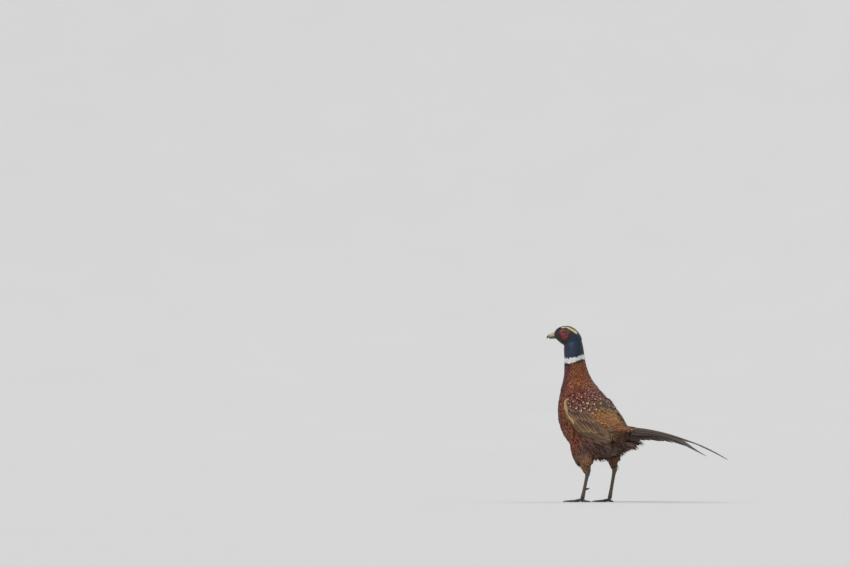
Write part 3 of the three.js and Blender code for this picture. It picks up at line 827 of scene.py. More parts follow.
def coat(name, rows, slot, material, columns=7, rings=FINE_RINGS, raised=0.0, long=1.0, wide=1.0, unruly=1.0,
         frayed=0.05, stray=STRAY):
    """A piece of small feathers. The rows are their places, ways, spacings, styles and map places."""
    points, way, spacing, styles, uv = rows
    n = len(points)
    length = LENGTH * long * spacing * MM * chance.uniform(0.92, 1.08, n)
    _, normal = nearest(points)
    way = turned(way, normal, unruly * chance.normal(0, 0.07, n))
    start = points - flat_on(way, normal) * (length * BEFORE)[:, None]
    line, normals = follow(start, way, length, rings)
    passed = np.linalg.norm(line - points[:, None], axis=2).min(1) < stray * length
    kept = (v[passed] for v in (points, spacing, styles, uv, np.broadcast_to(wide, n), line, normals))
    points, spacing, styles, uv, wide, line, normals = kept
    n = len(points)
    lift = raised * MM + unruly * chance.normal(0, 0.05, n) * spacing * MM
    sunk = COAT_DEPTH * spacing[:, None] * MM * (-1.12 + 1.1 * rings**0.85)
    centre = line + normals * (sunk + lift[:, None] * rings)[..., None]
    half = WIDTH * (wide * spacing * MM * chance.uniform(0.93, 1.07, n))[:, None] * rounded(rings)
    tilt = unruly * chance.normal(0, 0.06, n)
    across = np.cross(unit(np.gradient(centre, axis=1)), normals)
    normals = unit(normals + across * tilt[:, None, None])
    looks = looks_of(styles)
    many = GLOSSY_BLENDED if material is glossy else BLENDED
    looks["ground"] = blended(points, styles, looks["ground"], many)
    looks["rim"] = blended(points, styles, looks["rim"])
    spotted = np.isin(styles, SPOTTED)
    dull = spotted.copy()
    dull[spotted] = ~spread_out(points[spotted], MARK_GAP * MM)
    strength = np.where(dull, DULL, 1.0)[:, None]
    looks["mark"] = looks["ground"] * (1 - strength) + looks["mark"] * strength
    looks["luck"] = chance.random(n)
    piece = build_vanes(name, centre, normals, half, columns, looks, (uv, PATCH, PATCH), frayed=frayed)
    settle(piece, slot, material)


def body_uv(run, round_, low, high):
    """A place on the unwrap of the body: round it and along it."""
    return on_map((round_ + 180) / 360, (run - low) / (high - low))


def build_trunk_coat():
    hidden_wing = on_wing & shown_wing(outer_run, outer_round)
    points, spacing = scatter(TRUNK, outer_run, ~hidden_wing)
    run, round_, along = body_place(points)
    styles = body_style(run, round_, chance.normal(0, 1, len(points)))
    side = np.abs(round_)
    on_a_wing = np.isin(owners(points), [FLESH.index("wing_left"), FLESH.index("wing_right")])
    wing_part = shown_wing(run, round_) & on_a_wing
    styles[wing_part] = STYLE["lesser"]
    way = -along - (0.25 + 0.35 * ramp(side, 60, 120))[:, None] * UP
    rows = (points, way, spacing, styles, body_uv(run, round_, -70, 260))
    mantle = (side < edge_at(SCAPULAR_EDGE, run) + 5) & (run > 100)
    upper = side < 75
    lower = ~mantle & ~upper & ~wing_part
    groups = {
        "mantle_feathers": (mantle & ~wing_part, 0.5, 1.0),
        "rump_feathers": (~mantle & upper & ~wing_part & (run > 4), 0.2, 1.25),
        "tail_root_feathers": (upper & ~wing_part & (run <= 4), 0.2, 1.4),
        "lesser_coverts": (wing_part, 0.2, 1.0),
        "breast_feathers": (lower & (run >= 150), 0.4, 1.0),
        "belly_feathers": (lower & (run < 150), 0.2, 1.3),
    }
    for name, (mine, raised, long) in groups.items():
        loose = name in ("belly_feathers", "tail_root_feathers")
        slot = "wing_plumage" if name == "lesser_coverts" else "body_plumage"
        wide = np.where(styles[mine] == STYLE["undertail"], 0.45, 0.8 if loose else 1.0)
        coat(name, [v[mine] for v in rows], slot, soft if loose else satin, raised=raised, long=long,
             wide=wide, unruly=1.3 if loose else 1.0, frayed=0.14 if loose else 0.05)


def build_neck_coat():
    points, spacing = scatter(NECK, outer_run)
    run, round_, along = body_place(points)
    styles = body_style(run, round_, chance.normal(0, 0.6, len(points)))
    rows = (points, -along, spacing, styles, body_uv(run, round_, 230, 400))
    upper = run > COLLAR_FRONT[0] - COLLAR_SAG - 1
    for name, mine, material, slot in (("neck_feathers_lower", ~upper, satin, "neck_plumage"),
                                       ("neck_feathers_upper", upper, glossy, "head_plumage")):
        coat(name, [v[mine] for v in rows], slot, material, 5, long=1.05)


WATTLE_OVALS = [(2, -1.5, 12.5, 9.5), (1.5, -11, 9.5, 9.5)]  # ahead, up, half length, half height
WATTLE_BARE = 0.9  # share of the ovals that stays free of feathers


def in_wattle(ahead, up, scale):
    return np.any([((ahead - oval_ahead) / half_length) ** 2 + ((up - oval_up) / half_height) ** 2 < scale**2
                   for oval_ahead, oval_up, half_length, half_height in WATTLE_OVALS], axis=0)


def build_head_coat():
    bare = in_wattle(outer_ahead, outer_up, WATTLE_BARE) & (np.abs(outer_left) > 6)
    points, spacing = scatter(HEAD, outer_up * 0.6 + outer_ahead * 0.8, ~bare)
    left, ahead, up = head_place(points)
    styles = head_style(left, ahead, up, chance.normal(0, 0.7, len(points)))
    way = np.tile(-HEAD_AHEAD - 0.75 * UP, (len(points), 1))
    turn = np.degrees(np.arctan2(left, up + 10))
    uv = on_map((turn + 180) / 360, (ahead + 36) / 68)
    coat("head_feathers", (points, way, spacing, styles, uv), "head_plumage", glossy, 5, SMALL_RINGS)


def thigh_uv(turn, share):
    return on_map(turn / 360, np.clip((share + 0.6) / 1.7, 0, 1))


def build_thigh_coat():
    points, spacing = scatter(THIGH, -outer_share * 60)
    for side in SIDES:
        mine = (points[:, 0] > 0) == (side == "left")
        spots = points[mine]
        share, turn = leg_place(spots, side)
        knee, hock, _ = (place(*p) for p in LEGS[side])
        run, round_, _ = body_place(spots)
        styles = np.where(share + chance.normal(0, 0.05, len(spots)) > 0.52, STYLE["thigh"], STYLE["belly"])
        styles = np.where(share + chance.normal(0, 0.05, len(spots)) > 0.22, styles,
                          body_style(run, round_, chance.normal(0, 1, len(spots))))
        way = np.tile(unit(hock - knee), (len(spots), 1)) + [0, 0.25, 0]
        rows = (spots, way, spacing[mine], styles, thigh_uv(turn + 180, share))
        coat(f"thigh_feathers_{side}", rows, "thigh_plumage", soft, 5, raised=0.2, long=1.3, wide=0.8,
             unruly=1.4, frayed=0.14, stray=THIGH_STRAY)


# The folded wings: rows of long feathers laid over the outer form, from the bend to the tip.
WING_LINE = [(44, 88, 234), (50, 71, 228), (49, 44, 213), (43, 7, 187), (38, -32, 163), (37, -64, 148),
             (39.5, -85, 141), (42, -99, 137)]
WING_HALF = [6, 20, 31, 32, 27, 17, 10, 2]
WING_LEAN = [8, 18, 30, 36, 34, 24, 18, 16]
WING_PITCH = 30
# Each row: how many, the roots' and the tips' places for the lowest and the highest feather, half
# width and lift at the tip in millimetres, and style. A place is the share of the way from bend to
# tip, then the share of the way from the wing's lower to its upper edge. Later rows lie on top.
WING_ROWS = [
    (7, (0.56, 0.15), (0.62, 0.50), (0.92, 0.12), (1.03, 0.50), 3.2, 0.2, "quill"),
    (10, (0.30, 0.40), (0.54, 0.85), (0.62, 0.12), (1.00, 0.56), 6.0, 0.6, "quill"),
    (6, (0.38, 0.60), (0.52, 1.02), (0.76, 0.46), (0.99, 0.86), 6.0, 1.0, "tertial"),
    (12, (0.26, 0.42), (0.46, 1.10), (0.50, 0.10), (0.76, 0.74), 4.4, 1.3, "covert"),
    (11, (0.18, 0.45), (0.36, 1.12), (0.38, 0.14), (0.58, 0.90), 3.9, 1.6, "covert"),
    (6, (0.16, 0.50), (0.30, 0.40), (0.29, 0.42), (0.44, 0.24), 3.2, 1.7, "stripe"),
]
WING_GRID = (31, 61)
WING_RINGS = 15
WING_CAST = (0.06, 0.05, 0.09)  # metres: where a line to the form starts, its place if it misses, its reach
WING_ROOT = 3.0  # millimetres that the long feathers' roots lie in the form
WING_TILT = 0.10
WING_BOW = 0.04
QUILL_ROUND = 0.03  # how much shorter the middle quills end


def smoothed(lines, times):
    """Lines with each inner point moved towards the middle of its neighbours."""
    for _ in range(times):
        lines[:, 1:-1] = 0.5 * lines[:, 1:-1] + 0.25 * (lines[:, :-2] + lines[:, 2:])
    return lines


def wing_places(side, along, height):
    """Places and outward normals on the outer form over the wing."""
    line = np.array([place(side * left, forward, up) for left, forward, up in WING_LINE])
    stops = np.linspace(0, 1, len(line))
    fine = curve_through(line, 12)
    steps = np.linspace(0, 1, len(fine))

    def at(values):
        return np.stack([np.interp(along, steps, v) for v in values.T], -1)

    half = np.interp(along, stops, WING_HALF) * MM
    lean, pitch = np.radians(np.interp(along, stops, WING_LEAN)), math.radians(WING_PITCH)
    out = np.stack([side * np.cos(lean), np.sin(lean) * np.sin(pitch), np.sin(lean) * np.cos(pitch)], -1)
    rise = unit(np.cross(out, unit(at(np.gradient(fine, axis=0)))))
    rise *= np.sign(rise[..., 2:])
    start, miss, reach = WING_CAST
    found, normal = cast(at(fine) + rise * (half * height)[..., None] + out * start, -out, miss, reach)
    return found, unit(normal + 0.8 * out)


def wing_edges(side):
    """For shares of the way from bend to tip, the heights of the lower and the upper edge."""
    along = np.linspace(0, 1, WING_GRID[0])
    height = np.linspace(-1.3, 1.3, WING_GRID[1])
    at, _ = wing_places(side, *np.broadcast_arrays(along[:, None], height[None]))
    run, round_, _ = body_place(at.reshape(-1, 3))
    run, round_ = run.reshape(WING_GRID), np.abs(round_).reshape(WING_GRID)
    shown = (round_ > edge_at(SCAPULAR_EDGE, run) - 1) & (round_ < edge_at(FLANK_EDGE, run) + 2)
    known = shown.any(1)
    low = np.interp(along, along[known], [height[row].min() for row in shown[known]])
    high = np.interp(along, along[known], [height[row].max() for row in shown[known]])
    return along, smoothed(low[None], 3)[0], smoothed(high[None], 3)[0]


def build_wing(name, side):
    centres, normals, halves, styles, islands = [], [], [], [], []
    stops, low_edge, high_edge = wing_edges(side)
    share = np.linspace(0, 1, WING_RINGS)[None]
    for index, (many, root_low, root_high, tip_low, tip_high, half, lift, kind) in enumerate(WING_ROWS):
        up = np.linspace(0, 1, many)[:, None]
        root = np.array(root_low) * (1 - up) + np.array(root_high) * up
        tip = np.array(tip_low) * (1 - up) + np.array(tip_high) * up
        if kind == "quill":
            tip[:, 0] -= QUILL_ROUND * np.sin(np.pi * up[:, 0])
        root = root + chance.normal(0, 0.006, root.shape)
        tip = tip + chance.normal(0, 0.010, tip.shape)
        along = np.clip(root[:, :1] * (1 - share) + tip[:, :1] * share, 0, 1)
        height = root[:, 1:] * (1 - share) + tip[:, 1:] * share + WING_BOW * np.sin(np.pi * share)
        low, high = np.interp(along, stops, low_edge), np.interp(along, stops, high_edge)
        line, normal = wing_places(side, along, low + (high - low) * height)
        line, normal = smoothed(line, 6), unit(smoothed(normal, 6))
        rise = -WING_ROOT + (WING_ROOT + lift) * ramp(share, -0.3, 0.75)
        line = line + normal * (rise * MM)[..., None]
        across = np.cross(unit(np.gradient(line, axis=1)), normal)
        across *= np.sign(across[..., 2:])
        centres.append(line)
        normals.append(unit(normal + WING_TILT * across))
        halves.append(half * MM * chance.uniform(0.94, 1.06, (many, 1)) * rounded(share, 0.5, 0.5, 0.06))
        styles += [STYLE[kind]] * many
        islands.append(np.stack([np.linspace(0.02, 0.94, many), np.full(many, 0.02 + 0.16 * index)], 1))
    looks = looks_of(styles)
    looks["luck"] = chance.random(len(styles))
    piece = build_vanes(name, np.vstack(centres), np.vstack(normals), np.vstack(halves), 9, looks,
                        (np.vstack(islands), 0.05, 0.15), camber=0.12, thick=0.03, frayed=0.006)
    settle(piece, "wing_plumage", satin)


# The tail: each feather follows the rings of its own node, as a fine barred vane with a shaft.
TAIL_PAIRS = 9
TAIL_COLUMNS = 11
TAIL_STEP = 2.2
BAR_STEP = 12.5
# In millimetres: the ragged edge, the splits in it, and how far the vane, its shaft and its underside
# stand off the node's ridge.
TAIL_RAGGED, TAIL_SPLIT, TAIL_OVER, TAIL_SHAFT, TAIL_UNDER = 0.9, 1.6, 0.20, 0.35, 0.30
SPLIT_SHARE = 0.10


def tail_lines(node_name):
    """The left edge, ridge and right edge of a tail feather's node, from root to tip."""
    points = np.unique(coordinates(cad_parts[node_name].data).round(6), axis=0)
    points = points[np.argsort(points[:, 1])]
    groups = np.split(points, np.where(np.diff(points[:, 1]) > 0.3 * MM)[0] + 1)
    rings = []
    for group in groups:
        ring = group[np.argsort(group[:, 0])]
        ring = ring.reshape(3, -1, 3).mean(1) if len(ring) % 3 == 0 else np.repeat(ring.mean(0)[None], 3, 0)
        rings.append(ring.ravel())
    length = (rings[-1][1] - rings[0][1]) / MM
    steps = max(2, round(length / (len(rings) - 1) / TAIL_STEP))
    return curve_through(rings, steps).reshape(-1, 3, 3)


def build_tail(side):
    u = np.linspace(-1, 1, TAIL_COLUMNS)
    off, across = np.abs(u), np.append(u, 0.0)
    points, faces, sides, lay, map_places, count = [], [], [], [], [], 0
    for order in range(1, TAIL_PAIRS + 1):
        left_edge, ridge, right_edge = tail_lines(f"tail_feather_{order}_{side}").transpose(1, 0, 2)
        k = len(ridge)
        edge = np.where(u[:, None] < 0, left_edge[:, None], right_edge[:, None])
        top = ridge[:, None] * (1 - off[:, None]) + edge * off[:, None]
        share = np.linspace(0, 1, k)[:, None]
        run = (ridge[:, 1:2] - ridge[0, 1]) / MM
        ragged = chance.normal(0, 1, (k, TAIL_COLUMNS)) * (0.25 + 0.5 * off) * TAIL_RAGGED * MM
        splits = (chance.random((k, 1)) < SPLIT_SHARE) * chance.uniform(0.5, 1, (k, TAIL_COLUMNS))
        ragged += TAIL_SPLIT * MM * off * splits
        taper = ramp(1 - share, 0, 0.1)
        width = np.linalg.norm(right_edge - left_edge, axis=1)[:, None]
        top[..., 1] += ragged * taper
        arch = 0.05 * width * (1 - u**2) + TAIL_SHAFT * MM * (off < 0.1) * taper
        top[..., 2] += TAIL_OVER * MM + arch
        below = ridge[:, None] - [0, 0, TAIL_UNDER * MM]
        points.append(np.concatenate([top, below], 1).reshape(-1, 3))
        faces.append(vane_faces(count + np.arange(k * len(across)).reshape(1, k, -1)))
        sides.append(np.tile(across * SIDES[side], k))
        barb = run - 0.55 * width / MM / 2 * np.abs(across)
        lay.append(np.stack(np.broadcast_arrays(barb, chance.random(), float(order)), -1).reshape(-1, 3))
        strip = 0.02 + 0.96 * (order - 1 + (across + 1) / 2 * 0.8) / TAIL_PAIRS
        map_places.append(np.stack(np.broadcast_arrays(strip, 0.02 + 0.96 * share), -1).reshape(-1, 2))
        count += k * len(across)
    piece = new_object(f"tail_feathers_{side}", np.vstack(points), np.vstack(faces))
    add_attribute(piece, "side", np.concatenate(sides))
    add_attribute(piece, "lay", np.vstack(lay))
    add_bake_map(piece, np.vstack(map_places))
    nodes = [f"tail_feather_{order}_{side}" for order in range(1, TAIL_PAIRS + 1)]
    settle(piece, "tail_plumage", tail_material, *nodes)


def tail_colour(tree):
    """Buff olive with dark bars. The outer feathers are browner, and partly darker as painted shade, since
    they lie in shade beside the central pair.
    """
    side = read(tree, "side", "Fac")
    barb, luck, number = read_parts(tree, "lay")
    streak = barb_streaks(barb, side, luck)
    wobble = streak - 0.5
    step = abs(side) * 1.6 + barb + wobble * 2.0 + luck * 3.0
    bars = between(abs(maths("FRACT", step / BAR_STEP) - 0.5), 0.18, 0.10)
    # Darker ground on the outer feathers: partly their own browner colour, partly painted shade.
    base = mixed(between(number, 0.8, 2.6), rgba(70, 58, 44), rgba(38, 33, 31))
    base = mixed(between(abs(side) + wobble * 0.3, 0.72, 0.98), base, rgba(72, 51, 41))
    colour = mixed(bars * 0.92, base, rgba(34, 27, 24))
    colour = mixed(between(abs(side), 0.07, 0.03), colour, rgba(58, 42, 30))
    return shaded(colour, streak * 0.8 + 0.6), streak


# Loose wisps: thin three-sided strands, several from each root.
WISP_RINGS = 6


def build_wisps(name, roots, way, normal, length, colours, uv, strands, spread, droop, radius):
    number = len(roots) * strands
    way, normal, uv = (np.repeat(v, strands, 0) for v in (unit(way), normal, uv))
    across = unit(np.cross(way, normal))
    fan = np.tile(np.linspace(-1, 1, strands), len(roots)) + chance.normal(0, 0.2, number)
    lift = chance.normal(0, 0.35, number)
    way = unit(way + spread * (fan[:, None] * across + 0.5 * lift[:, None] * normal))
    length = np.repeat(length, strands) * chance.uniform(0.6, 1.1, number) * MM
    share = np.linspace(0, 1, WISP_RINGS)
    base = np.repeat(roots, strands, 0) + across * (fan * 0.8 * MM)[:, None]
    line = base[:, None] + way[:, None] * (length[:, None] * share)[..., None]
    line[..., 2] -= droop * length[:, None] * share**2
    curl = chance.normal(0, 0.10, (number, 1, 1)) * (length[:, None] * share**2)[..., None]
    line += across[:, None] * curl
    thick = (radius * MM * np.maximum(0.5 + 0.9 * share - 1.35 * share**2.2, 0.05))[None, :, None]
    along = unit(np.gradient(line, axis=1))
    side = unit(np.cross(along, normal[:, None]))
    over = np.cross(side, along)
    points = np.stack([line + thick * (math.cos(a) * side + math.sin(a) * over) for a in (0.3, 2.4, 4.5)], 2)
    index = np.arange(number * WISP_RINGS * 3).reshape(number, WISP_RINGS, 3)
    walls = strips(index)
    faces = [walls[:, [0, 1, 2]], walls[:, [0, 2, 3]], index[:, 0][:, ::-1], index[:, -1]]
    piece = new_object(name, points, np.vstack(faces))
    share, luck = np.broadcast_arrays(share[None, :, None], chance.random((number, 1, 1)), index)[:2]
    add_attribute(piece, "lay", np.stack([share, luck, 0 * luck], -1))
    add_colour(piece, "ground", np.repeat(colours, strands * WISP_RINGS * 3, 0))
    add_bake_map(piece, uv[:, None, None] + PATCH * np.stack([0.5 * luck, share], -1))
    settle(piece, "thigh_plumage", wisp_material)


def wisp_colour(tree):
    share, luck, _ = read_parts(tree, "lay")
    light = luck * 0.5 + share * 0.3 + 0.6
    return shaded(read(tree, "ground", "Color"), light), light


# Loose ends of the belly, the vent, the flanks and the coverts under the tail: how many, where along
# the body and round it, their length in millimetres, style and droop.
WISP_GROUPS = [
    ("belly_wisps", 140, (20, 128), (116, 180), 10, "belly", 0.3),
    ("vent_wisps", 100, (-6, 44), (105, 180), 9, "vent", 0.2),
    ("flank_plumes", 150, (-2, 34), (62, 122), 17, "side", 0.15),
    ("undertail_wisps", 90, (-34, -8), (100, 180), 8, "undertail", 0.3),
]
THIGH_WISPS = 70


def build_body_wisps():
    for name, many, runs, rounds, length, kind, droop in WISP_GROUPS:
        run = chance.uniform(*runs, many)
        round_ = chance.uniform(*rounds, many) * chance.choice([-1, 1], many)
        at, normal = on_body(run, round_)
        way = -body_place(at)[2] - (0.25 + droop) * UP + 0.25 * normal
        colours = STYLES[kind]["ground"] * chance.uniform(0.7, 1.25, (many, 1))
        build_wisps(name, at - normal * 1.5 * MM, way, normal, np.full(many, length), colours,
                    body_uv(run, round_, -70, 260), 8, 0.30, droop * 0.5, 0.32)


def build_thigh_wisps():
    """Loose ends along the back and the foot of each feathered thigh."""
    for side in SIDES:
        knee, hock, _ = (place(*p) for p in LEGS[side])
        share = chance.uniform(0.1, 0.8, THIGH_WISPS)
        turn = np.radians(chance.uniform(115, 245, THIGH_WISPS))
        line = unit(hock - knee)
        out = np.cos(turn)[:, None] * unit(np.cross(LEFT, line)) + np.sin(turn)[:, None] * LEFT
        at, normal = cast(knee + (hock - knee) * share[:, None] + out * 45 * MM, -out, 30 * MM)
        way = line + [0, 0.35, 0] + 0.15 * normal
        kind = np.where(share > 0.6, STYLE["thigh"], STYLE["belly"])
        colours = looks_of(kind)["ground"] * chance.uniform(0.7, 1.2, (THIGH_WISPS, 1))
        length = np.interp(share, [0, 0.5, 1], [13, 9, 5])
        build_wisps(f"thigh_wisps_{side}", at - normal * 1.2 * MM, way, normal, length, colours,
                    thigh_uv(np.degrees(turn), share), 6, 0.3, 0.1, 0.28)


# Smooth hard parts: bill, legs and claws are remade from their nodes.
def box_unwrap(obj):
    """An unwrap by the way the faces look, with the six sides beside each other."""
    points, normal = coordinates(obj.data), normals_of(obj.data)
    size = np.ptp(points, axis=0).max() * 1.02
    shares = (points - points.min(0)) / size
    face = np.abs(normal).argmax(1)
    rows = np.arange(len(points))
    sign = normal[rows, face] > 0
    u = shares[rows, np.where(face == 0, 1, 0)]
    v = shares[rows, np.where(face == 2, 1, 2)]
    add_bake_map(obj, np.stack([(u + face) / 3, (v + sign) / 2], 1))


BILL_TIP = 45
NOSTRIL = (25.6, -4.8)  # ahead of and above the eyes' middle


def build_bill():
    for part, material in (("upper", horn_upper), ("lower", horn_lower)):
        bill = remade(f"bill_{part}_horn", [f"bill_{part}"], 0.42, 5)
        points, normal = coordinates(bill.data), normals_of(bill.data)
        left, ahead, up = head_place(points)
        ahead_of, above = ahead - NOSTRIL[0], up - NOSTRIL[1]
        flap = ramp(np.hypot(ahead_of / 3.6, above / 1.9), 1.0, 0.35)
        slit = np.hypot((ahead_of - 0.4) / 3.0, (above + 1.8) / 0.7)
        around = np.hypot((ahead_of + 1.2) / 4.6, (above + 0.2) / 2.6)
        # Dark round the nostril: partly its own dark slit and feathering, partly painted shadow in the
        # hollow.
        dark = np.maximum(ramp(slit, 1.3, 0.5), 0.8 * ramp(around, 1.1, 0.6))
        beside = (np.abs(left) > 2) & (part == "upper")
        lift = (0.55 * flap - 0.6 * ramp(slit, 1.0, 0.4)) * beside
        add_attribute(bill, "nostril_dark_and_shade", dark * beside)
        move_points(bill, points + normal * (lift * MM)[:, None])
        add_attribute(bill, "spot", np.stack([left, ahead, up], 1))
        box_unwrap(bill)
        settle(bill, "bill", material, f"bill_{part}")


def bill_colour(base, dark):
    def colour(tree):
        left, ahead, up = read_parts(tree, "spot")
        grain = noise(joined(left, ahead * 0.25, up), 1.2, 3.0)
        tip = between(ahead + grain * 4.0, BILL_TIP - 5.5, BILL_TIP - 0.5)
        # The nostril's dark patch: its own dark feathering, with painted shadow in the slit and the hollow.
        found = mixed(read(tree, "nostril_dark_and_shade", "Fac"), mixed(tip, rgba(*base), rgba(*dark)), rgba(46, 36, 28))
        return shaded(found, grain * 0.5 + 0.75), grain

    return colour


# The eye: a wet ball with iris and pupil, and lids round it.
EYE_RADIUS = 5.2
EYE_OUT = 11.6  # its centre, left of the head's middle plane
EYE_GRID = (40, 64)
IRIS_RADIUS = 3.5
PUPIL_RADIUS = 1.9
OPENING = (3.7, 3.15)  # half length and half height of the gap between the lids
HUG = 0.35  # how far the skin round the eye and the lids stand off it
LID_OFF = 0.42
LID_RADIUS = 0.42


def build_eye(side):
    out = HEAD_ACROSS * SIDES[side]
    fall = np.linspace(0, np.pi, EYE_GRID[0])[:, None]
    turn = np.linspace(0, 2 * np.pi, EYE_GRID[1], endpoint=False)[None] * SIDES[side]
    fall, turn = np.broadcast_arrays(fall, turn)
    off = EYE_RADIUS * np.sin(fall)
    x, y = np.cos(turn), np.sin(turn)
    bulge = 0.45 * np.exp(-((off / 2.9) ** 2)) * (fall < 1.2)
    ways = np.cos(fall)[..., None] * out + (np.sin(fall) * x)[..., None] * HEAD_AHEAD
    ways = ways + (np.sin(fall) * y)[..., None] * UP
    points = HEAD_AT + out * EYE_OUT * MM + ways * ((EYE_RADIUS + bulge) * MM)[..., None]
    index = np.arange(fall.size).reshape(EYE_GRID)
    eye = new_object(f"eye_ball_{side}", points, ring_faces(index, 1))
    add_attribute(eye, "off", off * np.where(fall < 1.57, 1, 9))
    add_attribute(eye, "spot", np.stack([off * x, off * y, 0 * off], -1))
    add_bake_map(eye, 0.5 + 0.48 * (fall / np.pi)[..., None] * np.stack([x, y], -1))
    settle(eye, "eye", eye_material, f"eye_{side}")


def eye_colour(tree):
    off = read(tree, "off", "Fac")
    x, y, _ = read_parts(tree, "spot")
    ray = noise(joined(maths("ARCTAN2", y, x) * 6.0, off * 0.5), 1.6, 3.0)
    iris = mixed(ray, rgba(92, 60, 34), rgba(168, 122, 70))
    found = mixed(between(off, IRIS_RADIUS - 0.35, IRIS_RADIUS + 0.1), iris, rgba(38, 28, 24))
    return mixed(between(off, PUPIL_RADIUS + 0.12, PUPIL_RADIUS - 0.12), found, rgba(4, 4, 5)), ray


# The bare skin round the eye, with its small bumps, and the lids in the middle of it.
WATTLE_RINGS, WATTLE_TURNS = 44, 168
WATTLE_HEIGHT = 0.9
WATTLE_REACH = 26  # millimetres from the eye, further than its edge anywhere
BUMP_HEIGHT = 0.28
FOLD_HEIGHT = 0.35


def build_wattle(side):
    out = HEAD_ACROSS * SIDES[side]
    turn = np.linspace(0, 2 * np.pi, WATTLE_TURNS, endpoint=False)
    reach = np.linspace(0, WATTLE_REACH, 10 * WATTLE_REACH + 1)
    inside = in_wattle(reach[:, None] * np.cos(turn), reach[:, None] * np.sin(turn), 1.02)
    edge = np.where(inside, reach[:, None], 0).max(0)
    edge = 0.5 * edge + 0.25 * (np.roll(edge, 1) + np.roll(edge, -1))
    lid = OPENING[0] * OPENING[1] / np.hypot(OPENING[1] * np.cos(turn), OPENING[0] * np.sin(turn))
    share = np.linspace(0, 1, WATTLE_RINGS)[:, None]
    radius = lid + (edge - lid) * share
    ahead, up = radius * np.cos(turn), radius * np.sin(turn)
    start = HEAD_AT + (ahead[..., None] * HEAD_AHEAD + up[..., None] * UP + 30 * out) * MM
    at, normal = cast(start, -out, 20 * MM)
    hexed = np.cos(2.9 * ahead) * np.cos(1.45 * ahead + 2.5 * up) * np.cos(1.45 * ahead - 2.5 * up)
    bumps = BUMP_HEIGHT * np.clip(hexed + 0.15, 0, 1) + 0.12 * chance.random(ahead.shape)
    fold = FOLD_HEIGHT * np.sin(0.75 * up + 0.25 * ahead)
    plump = ramp(share, 1.0, 0.86) * ramp(share, 0.0, 0.16)
    lobe = 0.5 * np.exp(-(((ahead - 1.5) / 6.5) ** 2 + ((up + 12) / 6.0) ** 2))
    height = -0.9 + plump * (WATTLE_HEIGHT + 0.9 + bumps + fold + lobe)
    points = at + normal * (height * MM)[..., None]
    # The inner edge hugs the eye.
    centre = HEAD_AT + out * EYE_OUT * MM
    ball = centre + unit(points - centre) * (EYE_RADIUS + HUG) * MM
    hug = ramp(share, 0.2, 0.02)[..., None]
    points = points * (1 - hug) + ball * hug
    index = np.arange(ahead.size).reshape(ahead.shape)
    made = new_object(f"wattle_skin_{side}", points, ring_faces(index, SIDES[side]))
    grey = np.exp(-(((ahead + 6.5) / 5.5) ** 2 + ((up + 1.5) / 5.0) ** 2)) + 0.9 * ramp(radius, 6.8, 4.2)
    add_attribute(made, "grey", np.clip(grey * ramp(up, 7.5, 5.0), 0, 1))
    # Painted shade: the dips between the bumps get a darker red.
    add_attribute(made, "dip_shade", np.clip(1 - hexed, 0, 2) / 2)
    add_attribute(made, "spot", np.stack([ahead, up, 0 * up], -1))
    add_bake_map(made, np.stack([0.5 + ahead / 44, 0.6 + up / 44], -1))
    settle(made, "bare_skin", wattle_material, f"wattle_{side}")
    build_lids(side, centre, turn, lid)


def build_lids(side, centre, turn, lid):
    """A thin ring of skin round the opening, resting on the eye."""
    out = HEAD_ACROSS * SIDES[side]
    round_ = np.linspace(0, 2 * np.pi, 12, endpoint=False)[None, :, None]
    across = lid + 0.15
    depth = np.sqrt(np.maximum((EYE_RADIUS + LID_OFF) ** 2 - across**2, 0))
    radial = np.cos(turn)[:, None] * HEAD_AHEAD + np.sin(turn)[:, None] * UP
    line = centre + (radial * across[:, None] + out * depth[:, None]) * MM
    tube = (LID_RADIUS + 0.10 * np.sin(turn) + 0.04 * np.sin(turn * 23))[:, None, None] * MM
    points = line[:, None] + (np.cos(round_) * radial[:, None] + np.sin(round_) * out) * tube
    index = np.arange(points.size // 3).reshape(len(turn), -1)
    faces = ring_faces(np.vstack([index, index[:1]]), SIDES[side])
    lids = new_object(f"eyelids_{side}", points, faces)
    add_attribute(lids, "grey", np.ones(index.size))
    add_attribute(lids, "dip_shade", np.zeros(index.size))
    add_attribute(lids, "spot", (points - centre) / MM)
    shares = np.broadcast_arrays(0.02 + 0.96 * turn[:, None] / 6.29, 0.02 + 0.1 * round_[..., 0])
    add_bake_map(lids, np.stack(shares, -1))
    settle(lids, "bare_skin", wattle_material)


def wattle_colour(tree):
    patch = noise(read(tree, "spot"), 0.35, 3.0)
    red = mixed(patch, rgba(98, 14, 20), rgba(146, 28, 32))
    # Painted shade: darker red in the dips between the bumps.
    red = mixed(read(tree, "dip_shade", "Fac"), red, rgba(70, 12, 18))
    return mixed(read(tree, "grey", "Fac"), red, rgba(64, 46, 42)), patch


# Legs: the scales of the shanks and toes stand out of a smooth mesh.
TOES = ("inner", "middle", "outer", "hind")
SHANK_SCALES = (3.4, 6)  # length in millimetres, and how many go round
TOE_SCALES = (2.3, 1)
SCALE_HEIGHT, SCALE_BASE = 0.30, 0.2


def scutes(along, turn, step, rows):
    """Height of overlapping scales in staggered rows, from 0 in the gaps to 1."""
    column = turn * rows / (2 * np.pi)
    which = np.floor(column)
    shift = along / step + 0.5 * (which % 2)
    u, v = column - which, shift - np.floor(shift)
    gap = np.minimum(ramp(u, 0, 0.14) * ramp(1 - u, 0, 0.14), ramp(v, 0, 0.16) * ramp(1 - v, 0, 0.10))
    return gap * (0.6 + 0.4 * v)


